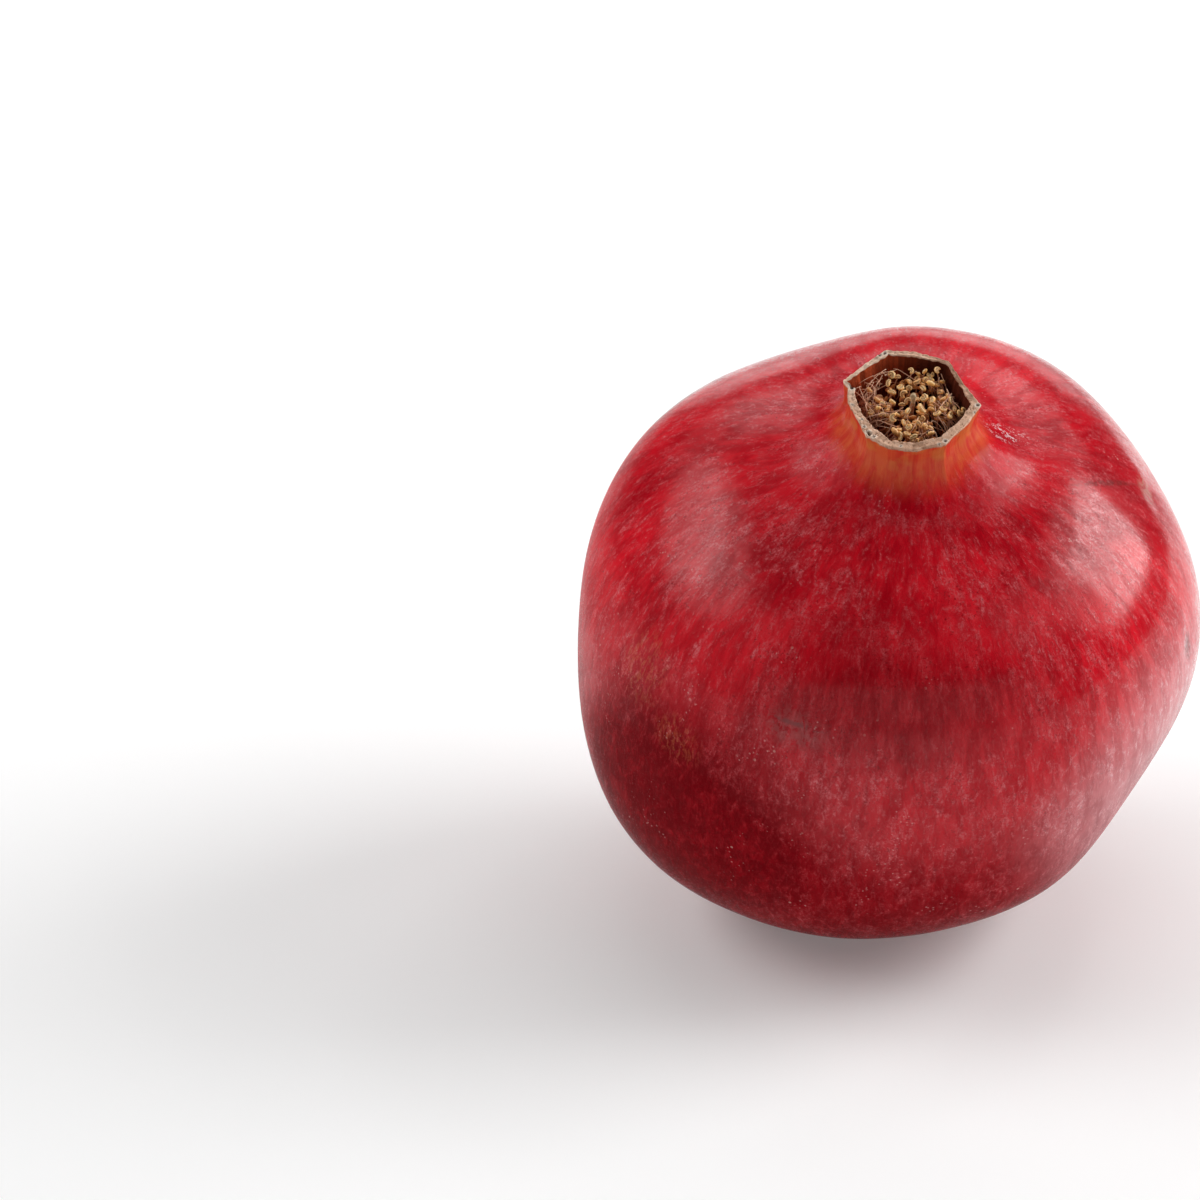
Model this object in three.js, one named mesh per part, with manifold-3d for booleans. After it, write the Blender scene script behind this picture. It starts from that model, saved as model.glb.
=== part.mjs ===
// A whole, fresh pomegranate, as picked. The rind and its crown grew as one piece. Dried stamens and the
// style stand in the crown's cup, and a woody stub of the stem sits in a dimple at the other end.
// Millimetres, +Z up. The fruit rests on a small flat spot, leaning over, with its crown towards -Y and a
// little towards +X. The origin is on the resting surface, at the middle of the fruit's width and depth.
import * as THREE from "three";
import { mergeVertices } from "three/addons/utils/BufferGeometryUtils.js";
import Module from "manifold-3d";

// How the fruit leans: its own axis runs from the stem end to the crown.
const LEAN_FORWARD_DEG = 21;
const LEAN_ASIDE_DEG = 1.5;
const FLAT_SPOT_DEPTH = 1.5; // how far the rind is flattened where it rests

// The rind's body, about its centre: a full, slightly flattened globe.
const EQUATOR_RADIUS = 49;
const SHOULDER_HEIGHT = 42.5;
const BASE_DEPTH = 42.3;
const FULLNESS = 2.3; // 2 is an ellipse, and more is squarer
const RIND_STEPS = 22;
const TURN_STEPS = 60;

// Flat cheeks and soft swellings of the rind: where each is, how deep it is pressed in (a swelling's depth
// is negative) and how far it spreads, in degrees seen from the centre.
const CHEEKS = [
  { azimuth: -27, latitude: -20, depth: 5.0, spread: 24 },
  { azimuth: -68, latitude: -40, depth: 2.0, spread: 20 },
  { azimuth: -150, latitude: -30, depth: -2.8, spread: 26 },
  { azimuth: 117, latitude: 39, depth: 1.3, spread: 20 },
  { azimuth: 58, latitude: 40, depth: -1.3, spread: 20 },
  { azimuth: 23, latitude: 20, depth: 1.3, spread: 24 },
  { azimuth: 90, latitude: 50, depth: -1.1, spread: 14 },
  { azimuth: 150, latitude: 23, depth: -1.0, spread: 24 },
  { azimuth: -95, latitude: 2, depth: 0.9, spread: 22 },
  { azimuth: 92, latitude: -12, depth: 1.2, spread: 24 },
  { azimuth: -90, latitude: -80, depth: -2.0, spread: 16 }, // the heel it rests on
  { azimuth: 0, latitude: -90, depth: 3.0, spread: 9 }, // the dimple round the stem
];

// The crown: a short tube with six main corners, one for each sepal, broken off to a rough rim.
const FLARE_START_RADIUS = 22; // the shoulder starts to sweep up into the neck here
const FLARE_HEIGHT = 43.4; // the shoulder's slope carried on to the neck
const NECK_RADIUS = 10.2;
const NECK_BASE_HEIGHT = 50.5;
const RIM_RADIUS = 10.6;
const RIM_HEIGHT = 53.3;
const RIM_THICKNESS = 1.4;
const RIM_EDGE = 0.4; // how far the rim's two edges are rounded
const CUP_RADIUS = 8.7;
const CUP_NARROWS_HEIGHT = 48.8; // the cup narrows from this height down to its floor
const CUP_FLOOR_RADIUS = 6.6;
const CUP_FLOOR_HEIGHT = 42;
const ROUND_BELOW = 42; // the tube is round up to this height
const CORNERED_ABOVE = 52; // and fully cornered from this one
const RISE_ABOVE = 47; // the rim's height varies from here up
// The rim's corners and bends: where each is, how far from the axis, and how far it rises.
const CORNERS = [
  { azimuth: -174, radius: 9.8, rise: -0.4 },
  { azimuth: -150, radius: 9.5, rise: -0.4 },
  { azimuth: -132, radius: 10.7, rise: -0.5 },
  { azimuth: -108, radius: 10.9, rise: -0.3 },
  { azimuth: -90, radius: 10.8, rise: -0.3 },
  { azimuth: -60, radius: 10.6, rise: -0.3 },
  { azimuth: -30, radius: 9.7, rise: -0.4 },
  { azimuth: -6, radius: 10.6, rise: -0.2 },
  { azimuth: 24, radius: 8.9, rise: -0.4 },
  { azimuth: 54, radius: 10.0, rise: -0.2 },
  { azimuth: 84, radius: 10.1, rise: -0.2 },
  { azimuth: 108, radius: 10.9, rise: -0.2 },
  { azimuth: 138, radius: 10.1, rise: -0.3 },
  { azimuth: 162, radius: 11.0, rise: -0.1 },
  { azimuth: 168, radius: 9.8, rise: -0.6 },
];

// The dried parts of the flower in the cup. Radii and heights are in the fruit's own frame.
const GAP = 0.3; // between a piece's foot and what it stands on
const FILAMENT_DIAMETER = 0.5;
const FILAMENT_SIDES = 5;
const FILAMENT_STEPS = 5;
const ANTHER_WIDTH = 0.8; // as a share of its length
const ANTHER_THICKNESS = 0.7;
// Each stamen's tip: its azimuth, how far from the axis, how high, and its anther's length.
const STAMENS = [
  { azimuth: 89, radius: 6.9, height: 52.0, length: 0.95 },
  { azimuth: 80, radius: 6.9, height: 51.5, length: 0.9 },
  { azimuth: 72, radius: 7.1, height: 52.0, length: 0.95 },
  { azimuth: 114, radius: 6.9, height: 51.6, length: 1.2 },
  { azimuth: 124, radius: 5.7, height: 51.4, length: 1.1 },
  { azimuth: 58, radius: 7.9, height: 52.4, length: 1.1 },
  { azimuth: 55, radius: 5.4, height: 51.8, length: 1.3 },
  { azimuth: 91, radius: 5.4, height: 51.2, length: 1.2 },
  { azimuth: 79, radius: 5.0, height: 51.8, length: 1.05 },
  { azimuth: 133, radius: 4.2, height: 51.0, length: 1.15 },
  { azimuth: 110, radius: 4.4, height: 51.2, length: 1.2 },
  { azimuth: 64, radius: 4.1, height: 51.3, length: 1.2 },
  { azimuth: 109, radius: 3.1, height: 50.9, length: 1.2 },
  { azimuth: 40, radius: 2.6, height: 51.5, length: 1.3 },
  { azimuth: 15, radius: 3.2, height: 51.8, length: 1.3 },
  { azimuth: 18, radius: 5.1, height: 51.4, length: 1.15 },
  { azimuth: 13, radius: 6.3, height: 51.2, length: 1.15 },
  { azimuth: 0, radius: 6.8, height: 51.0, length: 1.1 },
  { azimuth: -10, radius: 7.7, height: 51.6, length: 1.5 },
  { azimuth: -9, radius: 4.9, height: 51.6, length: 1.05 },
  { azimuth: -19, radius: 6.3, height: 51.2, length: 1.15 },
  { azimuth: -24, radius: 4.2, height: 51.6, length: 1.2 },
  { azimuth: -36, radius: 1.9, height: 52.0, length: 1.5 },
  { azimuth: -56, radius: 2.7, height: 50.9, length: 1.15 },
  { azimuth: -62, radius: 6.3, height: 51.2, length: 1.15 },
  { azimuth: -66, radius: 5.0, height: 51.6, length: 1.1 },
  { azimuth: -75, radius: 3.9, height: 51.4, length: 1.2 },
  { azimuth: -88, radius: 7.0, height: 51.6, length: 1.2 },
  { azimuth: -96, radius: 4.5, height: 51.4, length: 1.1 },
  { azimuth: -106, radius: 1.6, height: 51.6, length: 1.25 },
  { azimuth: -115, radius: 6.1, height: 51.3, length: 1.4 },
  { azimuth: -136, radius: 3.8, height: 51.4, length: 1.3 },
  { azimuth: -159, radius: 4.7, height: 51.0, length: 1 },
  { azimuth: -171, radius: 4.9, height: 51.5, length: 1.2 },
  { azimuth: 172, radius: 2.9, height: 51.8, length: 1.1 },
];
// How a filament stands, by how far out its tip is: on the wall, at the wall's foot or on the floor.
const STANDS = [
  { beyond: 6, foot: [7.7, 47.4], bow: (radius) => [7.7, 50.2] },
  { beyond: 3.5, foot: [6.4, 44.4], bow: (radius) => [radius + 0.9, 47.6] },
  { beyond: 0, foot: [4.6, 42.7], bow: (radius) => [radius + 0.6, 45] },
];
const STYLE_RADIUS = 0.55;
const STIGMA_RADIUS = 0.85;
const STYLE_TOP = 53;

// The stem's stub.
const STUB_RADIUS = 2.7;
const STUB_COLLAR_RADIUS = 3.3;
const STUB_LENGTH = 3.6;

const wasm = await Module();
wasm.setup();

const radians = THREE.MathUtils.degToRad;
const smooth = THREE.MathUtils.smoothstep;

// A mesh's geometry as a solid that booleans can use, and back.
function solid(geometry) {
  const bare = geometry.clone();
  bare.deleteAttribute("normal");
  bare.deleteAttribute("uv");
  const merged = mergeVertices(bare, 1e-4);
  return new wasm.Manifold(
    new wasm.Mesh({
      numProp: 3,
      vertProperties: merged.attributes.position.array,
      triVerts: new Uint32Array(merged.index.array),
    }),
  );
}

function geometryOf(manifold) {
  const mesh = manifold.getMesh();
  const geometry = new THREE.BufferGeometry();
  geometry.setAttribute("position", new THREE.BufferAttribute(mesh.vertProperties, 3));
  geometry.setIndex(new THREE.BufferAttribute(mesh.triVerts, 1));
  geometry.computeVertexNormals();
  return geometry;
}

function direction(azimuth, latitude) {
  const flat = Math.cos(radians(latitude));
  return new THREE.Vector3(
    flat * Math.cos(radians(azimuth)),
    flat * Math.sin(radians(azimuth)),
    Math.sin(radians(latitude)),
  );
}

// The lathe turns its profile about Y, so this brings it upright.
function turned(profile, steps) {
  return new THREE.LatheGeometry(profile, steps).rotateX(Math.PI / 2);
}

function onBody(angle) {
  const depth = angle < 0 ? BASE_DEPTH : SHOULDER_HEIGHT;
  const reach =
    (Math.abs(Math.cos(angle)) / EQUATOR_RADIUS) ** FULLNESS +
    (Math.abs(Math.sin(angle)) / depth) ** FULLNESS;
  const radius = reach ** (-1 / FULLNESS);
  return new THREE.Vector2(radius * Math.cos(angle), radius * Math.sin(angle));
}

function shoulderHeight(radius) {
  return SHOULDER_HEIGHT * (1 - (radius / EQUATOR_RADIUS) ** FULLNESS) ** (1 / FULLNESS);
}

// The outline from the stem end over the shoulder, up the crown, over its rim and down into the cup.
function rindProfile() {
  const flareStart = new THREE.Vector2(FLARE_START_RADIUS, shoulderHeight(FLARE_START_RADIUS));
  const startAngle = Math.atan2(flareStart.y, flareStart.x);
  const body = [new THREE.Vector2(0, -BASE_DEPTH)];
  for (let i = 1; i < RIND_STEPS; i++)
    body.push(onBody(-Math.PI / 2 + ((startAngle + Math.PI / 2) * i) / RIND_STEPS));
  const flare = new THREE.QuadraticBezierCurve(
    flareStart,
    new THREE.Vector2(NECK_RADIUS, FLARE_HEIGHT),
    new THREE.Vector2(NECK_RADIUS, NECK_BASE_HEIGHT),
  ).getPoints(5);
  const rimInner = RIM_RADIUS - RIM_THICKNESS;
  return [
    ...body,
    ...flare,
    new THREE.Vector2((NECK_RADIUS + RIM_RADIUS) / 2, (NECK_BASE_HEIGHT + RIM_HEIGHT) / 2),
    new THREE.Vector2(RIM_RADIUS, RIM_HEIGHT - RIM_EDGE),
    new THREE.Vector2(RIM_RADIUS - RIM_EDGE, RIM_HEIGHT),
    new THREE.Vector2(rimInner + RIM_EDGE, RIM_HEIGHT),
    new THREE.Vector2(rimInner, RIM_HEIGHT - RIM_EDGE),
    new THREE.Vector2(CUP_RADIUS, CUP_NARROWS_HEIGHT),
    ...new THREE.QuadraticBezierCurve(
      new THREE.Vector2(CUP_RADIUS, (CUP_NARROWS_HEIGHT + CUP_FLOOR_HEIGHT) / 2),
      new THREE.Vector2(CUP_RADIUS, CUP_FLOOR_HEIGHT),
      new THREE.Vector2(CUP_FLOOR_RADIUS, CUP_FLOOR_HEIGHT),
    ).getPoints(2),
    new THREE.Vector2(0, CUP_FLOOR_HEIGHT),
  ];
}

// Presses the cheeks into the globe: each one sinks the surface towards the centre.
function pressCheeks(point) {
  const outward = point.clone().normalize();
  for (const cheek of CHEEKS) {
    const away = THREE.MathUtils.radToDeg(outward.angleTo(direction(cheek.azimuth, cheek.latitude)));
    point.addScaledVector(outward, -cheek.depth * Math.exp(-((away / cheek.spread) ** 2)));
  }
}

// The crown's side that an azimuth falls on: its number, the degrees that it spans, and those already past.
function crownSide(azimuth) {
  for (let side = 0; side < CORNERS.length; side++) {
    const span = (cornerAt(side + 1).azimuth - cornerAt(side).azimuth + 720) % 360;
    const past = (azimuth - cornerAt(side).azimuth + 720) % 360;
    if (past < span) return { side, span, past };
  }
}

function cornerAt(side) {
  return CORNERS[(side + CORNERS.length) % CORNERS.length];
}

// How far the crown's side is from the axis at an azimuth, as a share of the round rim's radius.
function cornerReach(azimuth) {
  const { side, span, past } = crownSide(azimuth);
  const start = cornerAt(side).radius;
  const end = cornerAt(side + 1).radius;
  const across = start * end * Math.sin(radians(span));
  const along = start * Math.sin(radians(past)) + end * Math.sin(radians(span - past));
  return across / along / RIM_RADIUS;
}

function crownRise(azimuth) {
  const { side, span, past } = crownSide(azimuth);
  const start = cornerAt(side).rise;
  return start + (cornerAt(side + 1).rise - start) * smooth(past / span, 0, 1);
}

// Gives the round tube its corners and its uneven rim.
function shapeCrown(point) {
  const radius = Math.hypot(point.x, point.y);
  if (radius === 0 || radius > FLARE_START_RADIUS || point.z < 0) return;
  const azimuth = THREE.MathUtils.radToDeg(Math.atan2(point.y, point.x));
  const reach = 1 + (cornerReach(azimuth) - 1) * smooth(point.z, ROUND_BELOW, CORNERED_ABOVE);
  const rise = crownRise(azimuth) * smooth(point.z, RISE_ABOVE, RIM_HEIGHT);
  point.x *= reach;
  point.y *= reach;
  point.z += rise;
}

function rind() {
  const geometry = turned(rindProfile(), TURN_STEPS);
  const places = geometry.attributes.position;
  const point = new THREE.Vector3();
  for (let i = 0; i < places.count; i++) {
    point.fromBufferAttribute(places, i);
    pressCheeks(point);
    shapeCrown(point);
    places.setXYZ(i, point.x, point.y, point.z);
  }
  return geometry;
}

// A point in the cup: how far from the axis and how high, at an azimuth in degrees. The cup's corners
// move it as they move the wall.
function inCup([radius, height], azimuth) {
  const point = direction(azimuth, 0).multiplyScalar(radius).setZ(height);
  shapeCrown(point);
  return point;
}

// One dried stamen: a thin bent filament with its anther lying across the tip.
function stamen({ azimuth, radius, height, length }) {
  const stand = STANDS.find(({ beyond }) => radius > beyond);
  const tip = direction(azimuth, 0).multiplyScalar(radius).setZ(height);
  const path = new THREE.QuadraticBezierCurve3(
    inCup(stand.foot, azimuth),
    inCup(stand.bow(radius), azimuth),
    tip,
  );
  const round = new THREE.EllipseCurve(0, 0, FILAMENT_DIAMETER / 2, FILAMENT_DIAMETER / 2);
  const section = new THREE.Shape(round.getPoints(FILAMENT_SIDES).slice(0, -1));
  const filament = new THREE.ExtrudeGeometry(section, { steps: FILAMENT_STEPS, extrudePath: path });
  const anther = new THREE.SphereGeometry(length / 2, 8, 5)
    .scale(ANTHER_WIDTH, 1, ANTHER_THICKNESS)
    .rotateZ(radians(azimuth))
    .translate(tip.x, tip.y, tip.z);
  return geometryOf(solid(filament).add(solid(anther)));
}

function style() {
  const foot = CUP_FLOOR_HEIGHT + GAP;
  return turned(
    [
      new THREE.Vector2(0, foot),
      new THREE.Vector2(STYLE_RADIUS * 1.6, foot),
      new THREE.Vector2(STYLE_RADIUS, foot + 2),
      new THREE.Vector2(STYLE_RADIUS * 0.8, STYLE_TOP - 2 * STIGMA_RADIUS),
      new THREE.Vector2(STIGMA_RADIUS, STYLE_TOP - STIGMA_RADIUS),
      new THREE.Vector2(STIGMA_RADIUS * 0.7, STYLE_TOP - 0.2),
      new THREE.Vector2(0, STYLE_TOP),
    ],
    10,
  );
}

// The stub stands in the dimple, a gap below the rind, and ends in a rough cut.
function stemStub() {
  const dimple = new THREE.Vector3(0, 0, -BASE_DEPTH);
  pressCheeks(dimple);
  const top = dimple.z - GAP;
  return turned(
    [
      new THREE.Vector2(0, top - STUB_LENGTH),
      new THREE.Vector2(STUB_RADIUS * 0.85, top - STUB_LENGTH),
      new THREE.Vector2(STUB_RADIUS, top - STUB_LENGTH + 0.4),
      new THREE.Vector2(STUB_RADIUS * 0.92, top - STUB_LENGTH / 2),
      new THREE.Vector2(STUB_COLLAR_RADIUS, top - 1.5),
      new THREE.Vector2(STUB_COLLAR_RADIUS * 0.8, top - 0.9),
      new THREE.Vector2(0, top),
    ],
    16,
  );
}

// Materials, one for each finish.
const rindMaterial = new THREE.MeshStandardMaterial({ color: 0xa3121f, roughness: 0.35, metalness: 0 });
const stamenMaterial = new THREE.MeshStandardMaterial({ color: 0xb08a55, roughness: 0.8, metalness: 0 });
const styleMaterial = new THREE.MeshStandardMaterial({ color: 0x8d8870, roughness: 0.8, metalness: 0 });
const woodMaterial = new THREE.MeshStandardMaterial({ color: 0x6e5138, roughness: 0.85, metalness: 0 });

function named(name, geometry, material) {
  const mesh = new THREE.Mesh(geometry, material);
  mesh.name = name;
  return mesh;
}

// The leaning fruit's frame, from its own.
const leaning = new THREE.Matrix4()
  .makeRotationX(radians(LEAN_FORWARD_DEG))
  .multiply(new THREE.Matrix4().makeRotationY(radians(LEAN_ASIDE_DEG)));

// The rind, leaning, set down with its lowest part cut flat, in the frame of the resting surface.
function settledRind() {
  const geometry = rind().applyMatrix4(leaning);
  geometry.computeBoundingBox();
  const { min, max } = geometry.boundingBox;
  const settle = new THREE.Vector3(
    -(min.x + max.x) / 2,
    -(min.y + max.y) / 2,
    -min.z - FLAT_SPOT_DEPTH,
  );
  geometry.translate(settle.x, settle.y, settle.z);
  const below = new THREE.BoxGeometry(200, 200, 20).translate(0, 0, -10);
  return { settle, geometry: geometryOf(solid(geometry).subtract(solid(below))) };
}

const pomegranate = new THREE.Group();
const { settle, geometry: rindGeometry } = settledRind();
pomegranate.add(named("rind_with_crown", rindGeometry, rindMaterial));

const flowerAndStem = new THREE.Group();
flowerAndStem.applyMatrix4(leaning);
flowerAndStem.position.copy(settle);
pomegranate.add(flowerAndStem);

STAMENS.forEach((place, index) => {
  const name = `stamen_${String(index + 1).padStart(2, "0")}`;
  flowerAndStem.add(named(name, stamen(place), stamenMaterial));
});
flowerAndStem.add(named("style", style(), styleMaterial));
flowerAndStem.add(named("stem_stub", stemStub(), woodMaterial));

export default pomegranate;
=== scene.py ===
import math
import random

import bmesh
import bpy
from bpy.props import FloatProperty, FloatVectorProperty, IntProperty, PointerProperty
from mathutils import Matrix, Vector, noise


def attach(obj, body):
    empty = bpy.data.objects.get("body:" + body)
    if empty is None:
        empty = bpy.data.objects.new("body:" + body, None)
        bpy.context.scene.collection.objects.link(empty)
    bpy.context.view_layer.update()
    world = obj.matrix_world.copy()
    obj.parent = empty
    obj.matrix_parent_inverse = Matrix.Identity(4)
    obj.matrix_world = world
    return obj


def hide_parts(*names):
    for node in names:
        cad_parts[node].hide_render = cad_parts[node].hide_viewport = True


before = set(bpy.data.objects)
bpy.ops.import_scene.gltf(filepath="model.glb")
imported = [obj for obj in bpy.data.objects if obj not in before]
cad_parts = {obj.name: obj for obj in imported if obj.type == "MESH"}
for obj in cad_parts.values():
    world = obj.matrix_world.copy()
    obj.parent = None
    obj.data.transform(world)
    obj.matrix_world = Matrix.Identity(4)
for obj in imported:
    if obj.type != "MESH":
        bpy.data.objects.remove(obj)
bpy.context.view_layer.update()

bl_info = {
    "name": "Pomegranate",
    "version": (1, 0, 0),
    "blender": (4, 5, 0),
    "location": "3D View > Sidebar > Pomegranate",
    "description": "A whole pomegranate: rind and crown, dried stamens, style and stem stub",
    "category": "Add Mesh",
}

MM = 0.001
BODY = "root"

# How the fruit leans, and where its own centre stands. Its own Z axis runs from stem end to crown.
LEANING = Matrix.Rotation(math.radians(21), 3, "X") @ Matrix.Rotation(math.radians(1.5), 3, "Y")
CENTRE = Vector((0.607, 0.306, 43.43)) * MM
SIT_SOFTNESS = 0.4 * MM  # how softly the rind flattens where it rests

# The rind's outline, turned about the fruit's own axis.
FULLNESS = 2.3  # 2 is an ellipse, and more is squarer
FLARE_START_RADIUS = 22 * MM
FLARE_HEIGHT = 43.4 * MM
NECK_BASE_HEIGHT = 50.5 * MM
RIM_EDGE = 0.28 * MM
CUP_NARROWS_HEIGHT = 48.8 * MM
CUP_FLOOR_RADIUS = 6.6 * MM
CUP_SLACK = (0.05 * MM, 0.1 * MM)  # how far past its wall and under its floor still counts as the cup

# How far apart the outline's points are on each stretch.
BODY_REACH = 47 * MM  # about how far the body's skin is from its centre
BODY_STEP = 0.86 * MM
FLARE_STEP = 0.42 * MM
WALL_STEP = 0.26 * MM
RIM_STEP = 0.14 * MM
CUP_STEP = 0.4 * MM
FLOOR_STEP = 0.8 * MM
TINY = 0.001 * MM  # points closer than this are one

# Heights between which the round crown takes on its corners, its uneven rise and its uneven wall.
ROUND_BELOW = 42 * MM
CORNERED_ABOVE = 51 * MM
RISE_ABOVE = 47 * MM
THINS_ABOVE = 46.8 * MM
STILL_WITHIN = 2 * MM  # the middle of the cup's floor keeps its place
RESTS_BELOW = 6 * MM  # above the floor, where the underside's flattening ends

# Flat cheeks and soft swellings: azimuth, latitude, how deep (a swelling is negative), spread in degrees.
CHEEKS = (
    (-27, -20, 5.0, 24),
    (-68, -40, 2.0, 20),
    (-150, -30, -2.8, 26),
    (117, 39, 1.3, 20),
    (58, 40, -1.3, 20),
    (23, 20, 1.3, 24),
    (90, 50, -1.1, 14),
    (150, 23, -1.0, 24),
    (-95, 2, 0.9, 22),
    (92, -12, 1.2, 24),
    (-90, -80, -2.0, 16),
    (0, -90, 3.0, 9),
    (6, 35, 0.3, 4),
    (12.5, 38, -0.25, 3),
    (-17, 16, 0.45, 3.5),
)

# The broken rim of the crown: azimuth, radius, thickness and rise of each corner and bend.
CROWN = (
    (-176, 9.8, 1.4, -0.35),
    (-153, 9.4, 1.3, -0.4),
    (-132, 10.6, 2.0, -0.45),
    (-111, 11.0, 1.5, -0.3),
    (-88, 10.85, 1.6, -0.3),
    (-62, 10.5, 1.6, -0.3),
    (-28, 9.65, 1.4, -0.4),
    (-6, 10.5, 1.5, -0.2),
    (25, 8.8, 0.85, -0.4),
    (54, 9.9, 0.55, -0.15),
    (82, 10.0, 1.05, -0.2),
    (109, 10.85, 0.95, -0.2),
    (138, 10.05, 0.7, -0.3),
    (161.5, 10.95, 0.6, -0.1),
    (165, 9.9, 1.1, -0.5),
)

# Small dry pores in the rim: azimuth, distance from the axis, radius.
PORES = (
    (165, 9.3, 0.4),
    (117, 10.2, 0.22),
    (112, 10.2, 0.26),
    (-7, 10.05, 0.28),
    (-16, 9.9, 0.2),
    (-61.5, 10.1, 0.26),
    (-68, 10.2, 0.16),
    (-133, 9.9, 0.3),
    (-126, 10.1, 0.25),
    (-141, 9.5, 0.2),
    (-150, 8.9, 0.16),
    (-171, 9.2, 0.16),
    (-101, 10.2, 0.18),
)

# A pore's shape, as shares of its radius: its hole, its lip, and how far out either can be felt.
PORE_WIDTH = 0.8
PORE_DEPTH = 1.3
PORE_LIP = 1.35
PORE_LIP_WIDTH = 0.55
PORE_REACH = 4
PORE_LIP_RISE = 0.14  # in millimetres
# How strongly painted shade darkens a pore's hole.
PORE_DARKNESS = 1.4

# The dented cheek, where pebbles and furrows are deepest: where it faces, and how wide it is in degrees.
DENTED_CHEEK = Vector((0.80, -0.17, 0.57)).normalized()
DENT_SPREAD = 26

# Lumps of the skin, neck, cup and rim: how high and how long they are, in millimetres.
SWELLINGS = (0.16, 19)
PEBBLES = (0.022, 6)
FURROWS = (0.018, 4.2)
DENTED_PEBBLES = (0.03, 6)
DENTED_FURROWS = (0.045, 4.2)
FLUTES = (0.10, 2.4)
CUP_RIDGES = (0.25, 0.8)
CUP_LUMPS = (0.25, 1.5)
CRUMBS = (0.13, 1.4)
FINE_CRUMBS = (0.10, 0.6)
SIDE_CRUMBS = (0.09, 0.8)
SIDE_SHIFT = Vector((0, 0, 9)) * MM  # so that the rim's sides don't crumble as its top does

# Lumps that run round the axis are unrolled from rings of these radii.
SKIN_RING = 26 * MM
CROWN_RING = 9 * MM

# Where the lumps and the neck's colour fade in or end: distances from the axis, and heights.
CROWN_FADES_IN = (11 * MM, 24 * MM)
STEM_FADES_IN = (2 * MM, 9 * MM)
NECK_FADES_IN = (43.5 * MM, 47.5 * MM)
FLUTES_FADE_IN = (45 * MM, 49 * MM)
FLUTED_WITHIN = 16 * MM
FLUTED_ABOVE = 42 * MM
RIDGES_FADE_IN = (42 * MM, 45 * MM)
LUMPY_FLOOR_ENDS = (42 * MM, 43 * MM)

# Where the rim is roughened and thinned, and where its top face lies: a height, and depths below its top.
ROUGH_ABOVE = 50 * MM
THINNEST_DEPTH = 0.5 * MM
ROUGHEST_DEPTH = 0.6 * MM
FACE_STARTS_DEPTH = 0.4 * MM
FACE_DEPTH = 0.1 * MM

# The dried rim: how far down it is dry, how deep its edges roll and its cracks go, and its crumbled corner.
CUP_DRY_DEPTH = 0.55 * MM
SIDE_DRY_DEPTH = 1.3 * MM
ROLL_DEPTH = 0.16 * MM
CRACK_DEPTH = 0.16 * MM
CRACK_SPACING = 1.1 * MM
CRACK_WIDTH = 0.09
CRUMBLED_AT = -131  # an azimuth
CRUMBLED_SPREAD = 12
CRUMBLED_MORE = 2.2

# What the rind's material reads from its mesh.
RIND_LAYERS = ("neck", "rim", "cup", "pore", "pore_ring")

# Places on the skin: azimuth, latitude, distance from the centre, reach across and along, and lean.
# Painted shade: the shaded side, the clear band and the right shoulder darken the skin; the side and the
# band also lose pale threads.
SHADED_SIDE = (-134, 2, 49, (28, 26))
CLEAR_SHADED_BAND = (-93, 33, 48, (30, 12))
SHADED_RIGHT_SHOULDER = (9, 38, 48, (17, 12))
# The blooms are partly the skin's own paler bloom and partly a painted reflection of the pale surroundings.
LOW_BLOOM_AND_REFLECTION = (-32, 0, 48, (33, 25))
HIGH_BLOOM_AND_REFLECTION = (12, 14, 48, (17, 12))
UNRIPE_UPPER = (-149, 21, 49, (7, 8))
UNRIPE_LOWER = (-136, 14, 49, (6, 5))
DARK_LINE = (1, 48, 46.5, (0.7, 9.5), 29)
ROUGH_PATCH = (8, 37, 47.6, (3.6, 2.6))
BROWN_PIT = (-17, 16, 48.5, (2.0, 3.4))
# The crease is painted shade, with no dent in the mesh.
CREASE_SHADE = (-141, 47, 47, (2.2, 0.6))
SCRATCH = (-113, 28, 47.5, (5.5, 0.5))
GRAZE = (-113, 27, 47.5, (7, 4))
# The crown's glints are painted highlights.
CROWN_GLINTS = (12, 70, 44.5, (2.6, 5.2))
# The lit lip is a painted highlight on the rim.
LIT_LIP_HIGHLIGHT = (140, 79, 53, (10, 6))
BROWN_LIP = (30, 80, 53, (8, 9))
FRONT_LIP = (-75, 79, 53, (14, 6))
# The lit red wall is painted light inside the cup.
LIT_RED_WALL = (138, 80, 51, (10, 9))
DULL_BACK = (174, 24, 49, (32, 28))

# Noise along the skin: scale, squeeze, detail, roughness, distortion, shift, and the values it is eased
# between. It is laid in rings round the axis, in millimetres: radius, where it starts, where it is full.
WOVEN_RINGS = ((11.0, 0.0, 0.0), (24.0, 14.0, 19.0), (45.0, 30.0, 37.0))
SKIN_RADIUS = 48.0
STREAKS = (0.42, 0.32, 3.0, 0.6, 0.5, 40.0, 0.37, 0.63)
PATCHES = (0.20, 0.55, 3.0, 0.6, 0.6, 5.0, 0.42, 0.62)
MOTTLES = (0.66, 0.62, 3.0, 0.65, 0.7, 71.0, 0.43, 0.66)
THREADS = (1.5, 0.38, 3.0, 0.65, 0.8, 23.0, 0.45, 0.66)
FRAYING = (0.9, 0.9, 3.0, 0.7, 0.5, 60.0, 0.40, 0.56)
NECK_FIBRES = (0.85, 0.40, 3.0, 0.6, 0.5, 17.0, 0.32, 0.70)
WALL_FIBRES = (0.7, 0.35, 3.0, 0.6, 0.6, 55.0, 0.34, 0.66)
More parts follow.
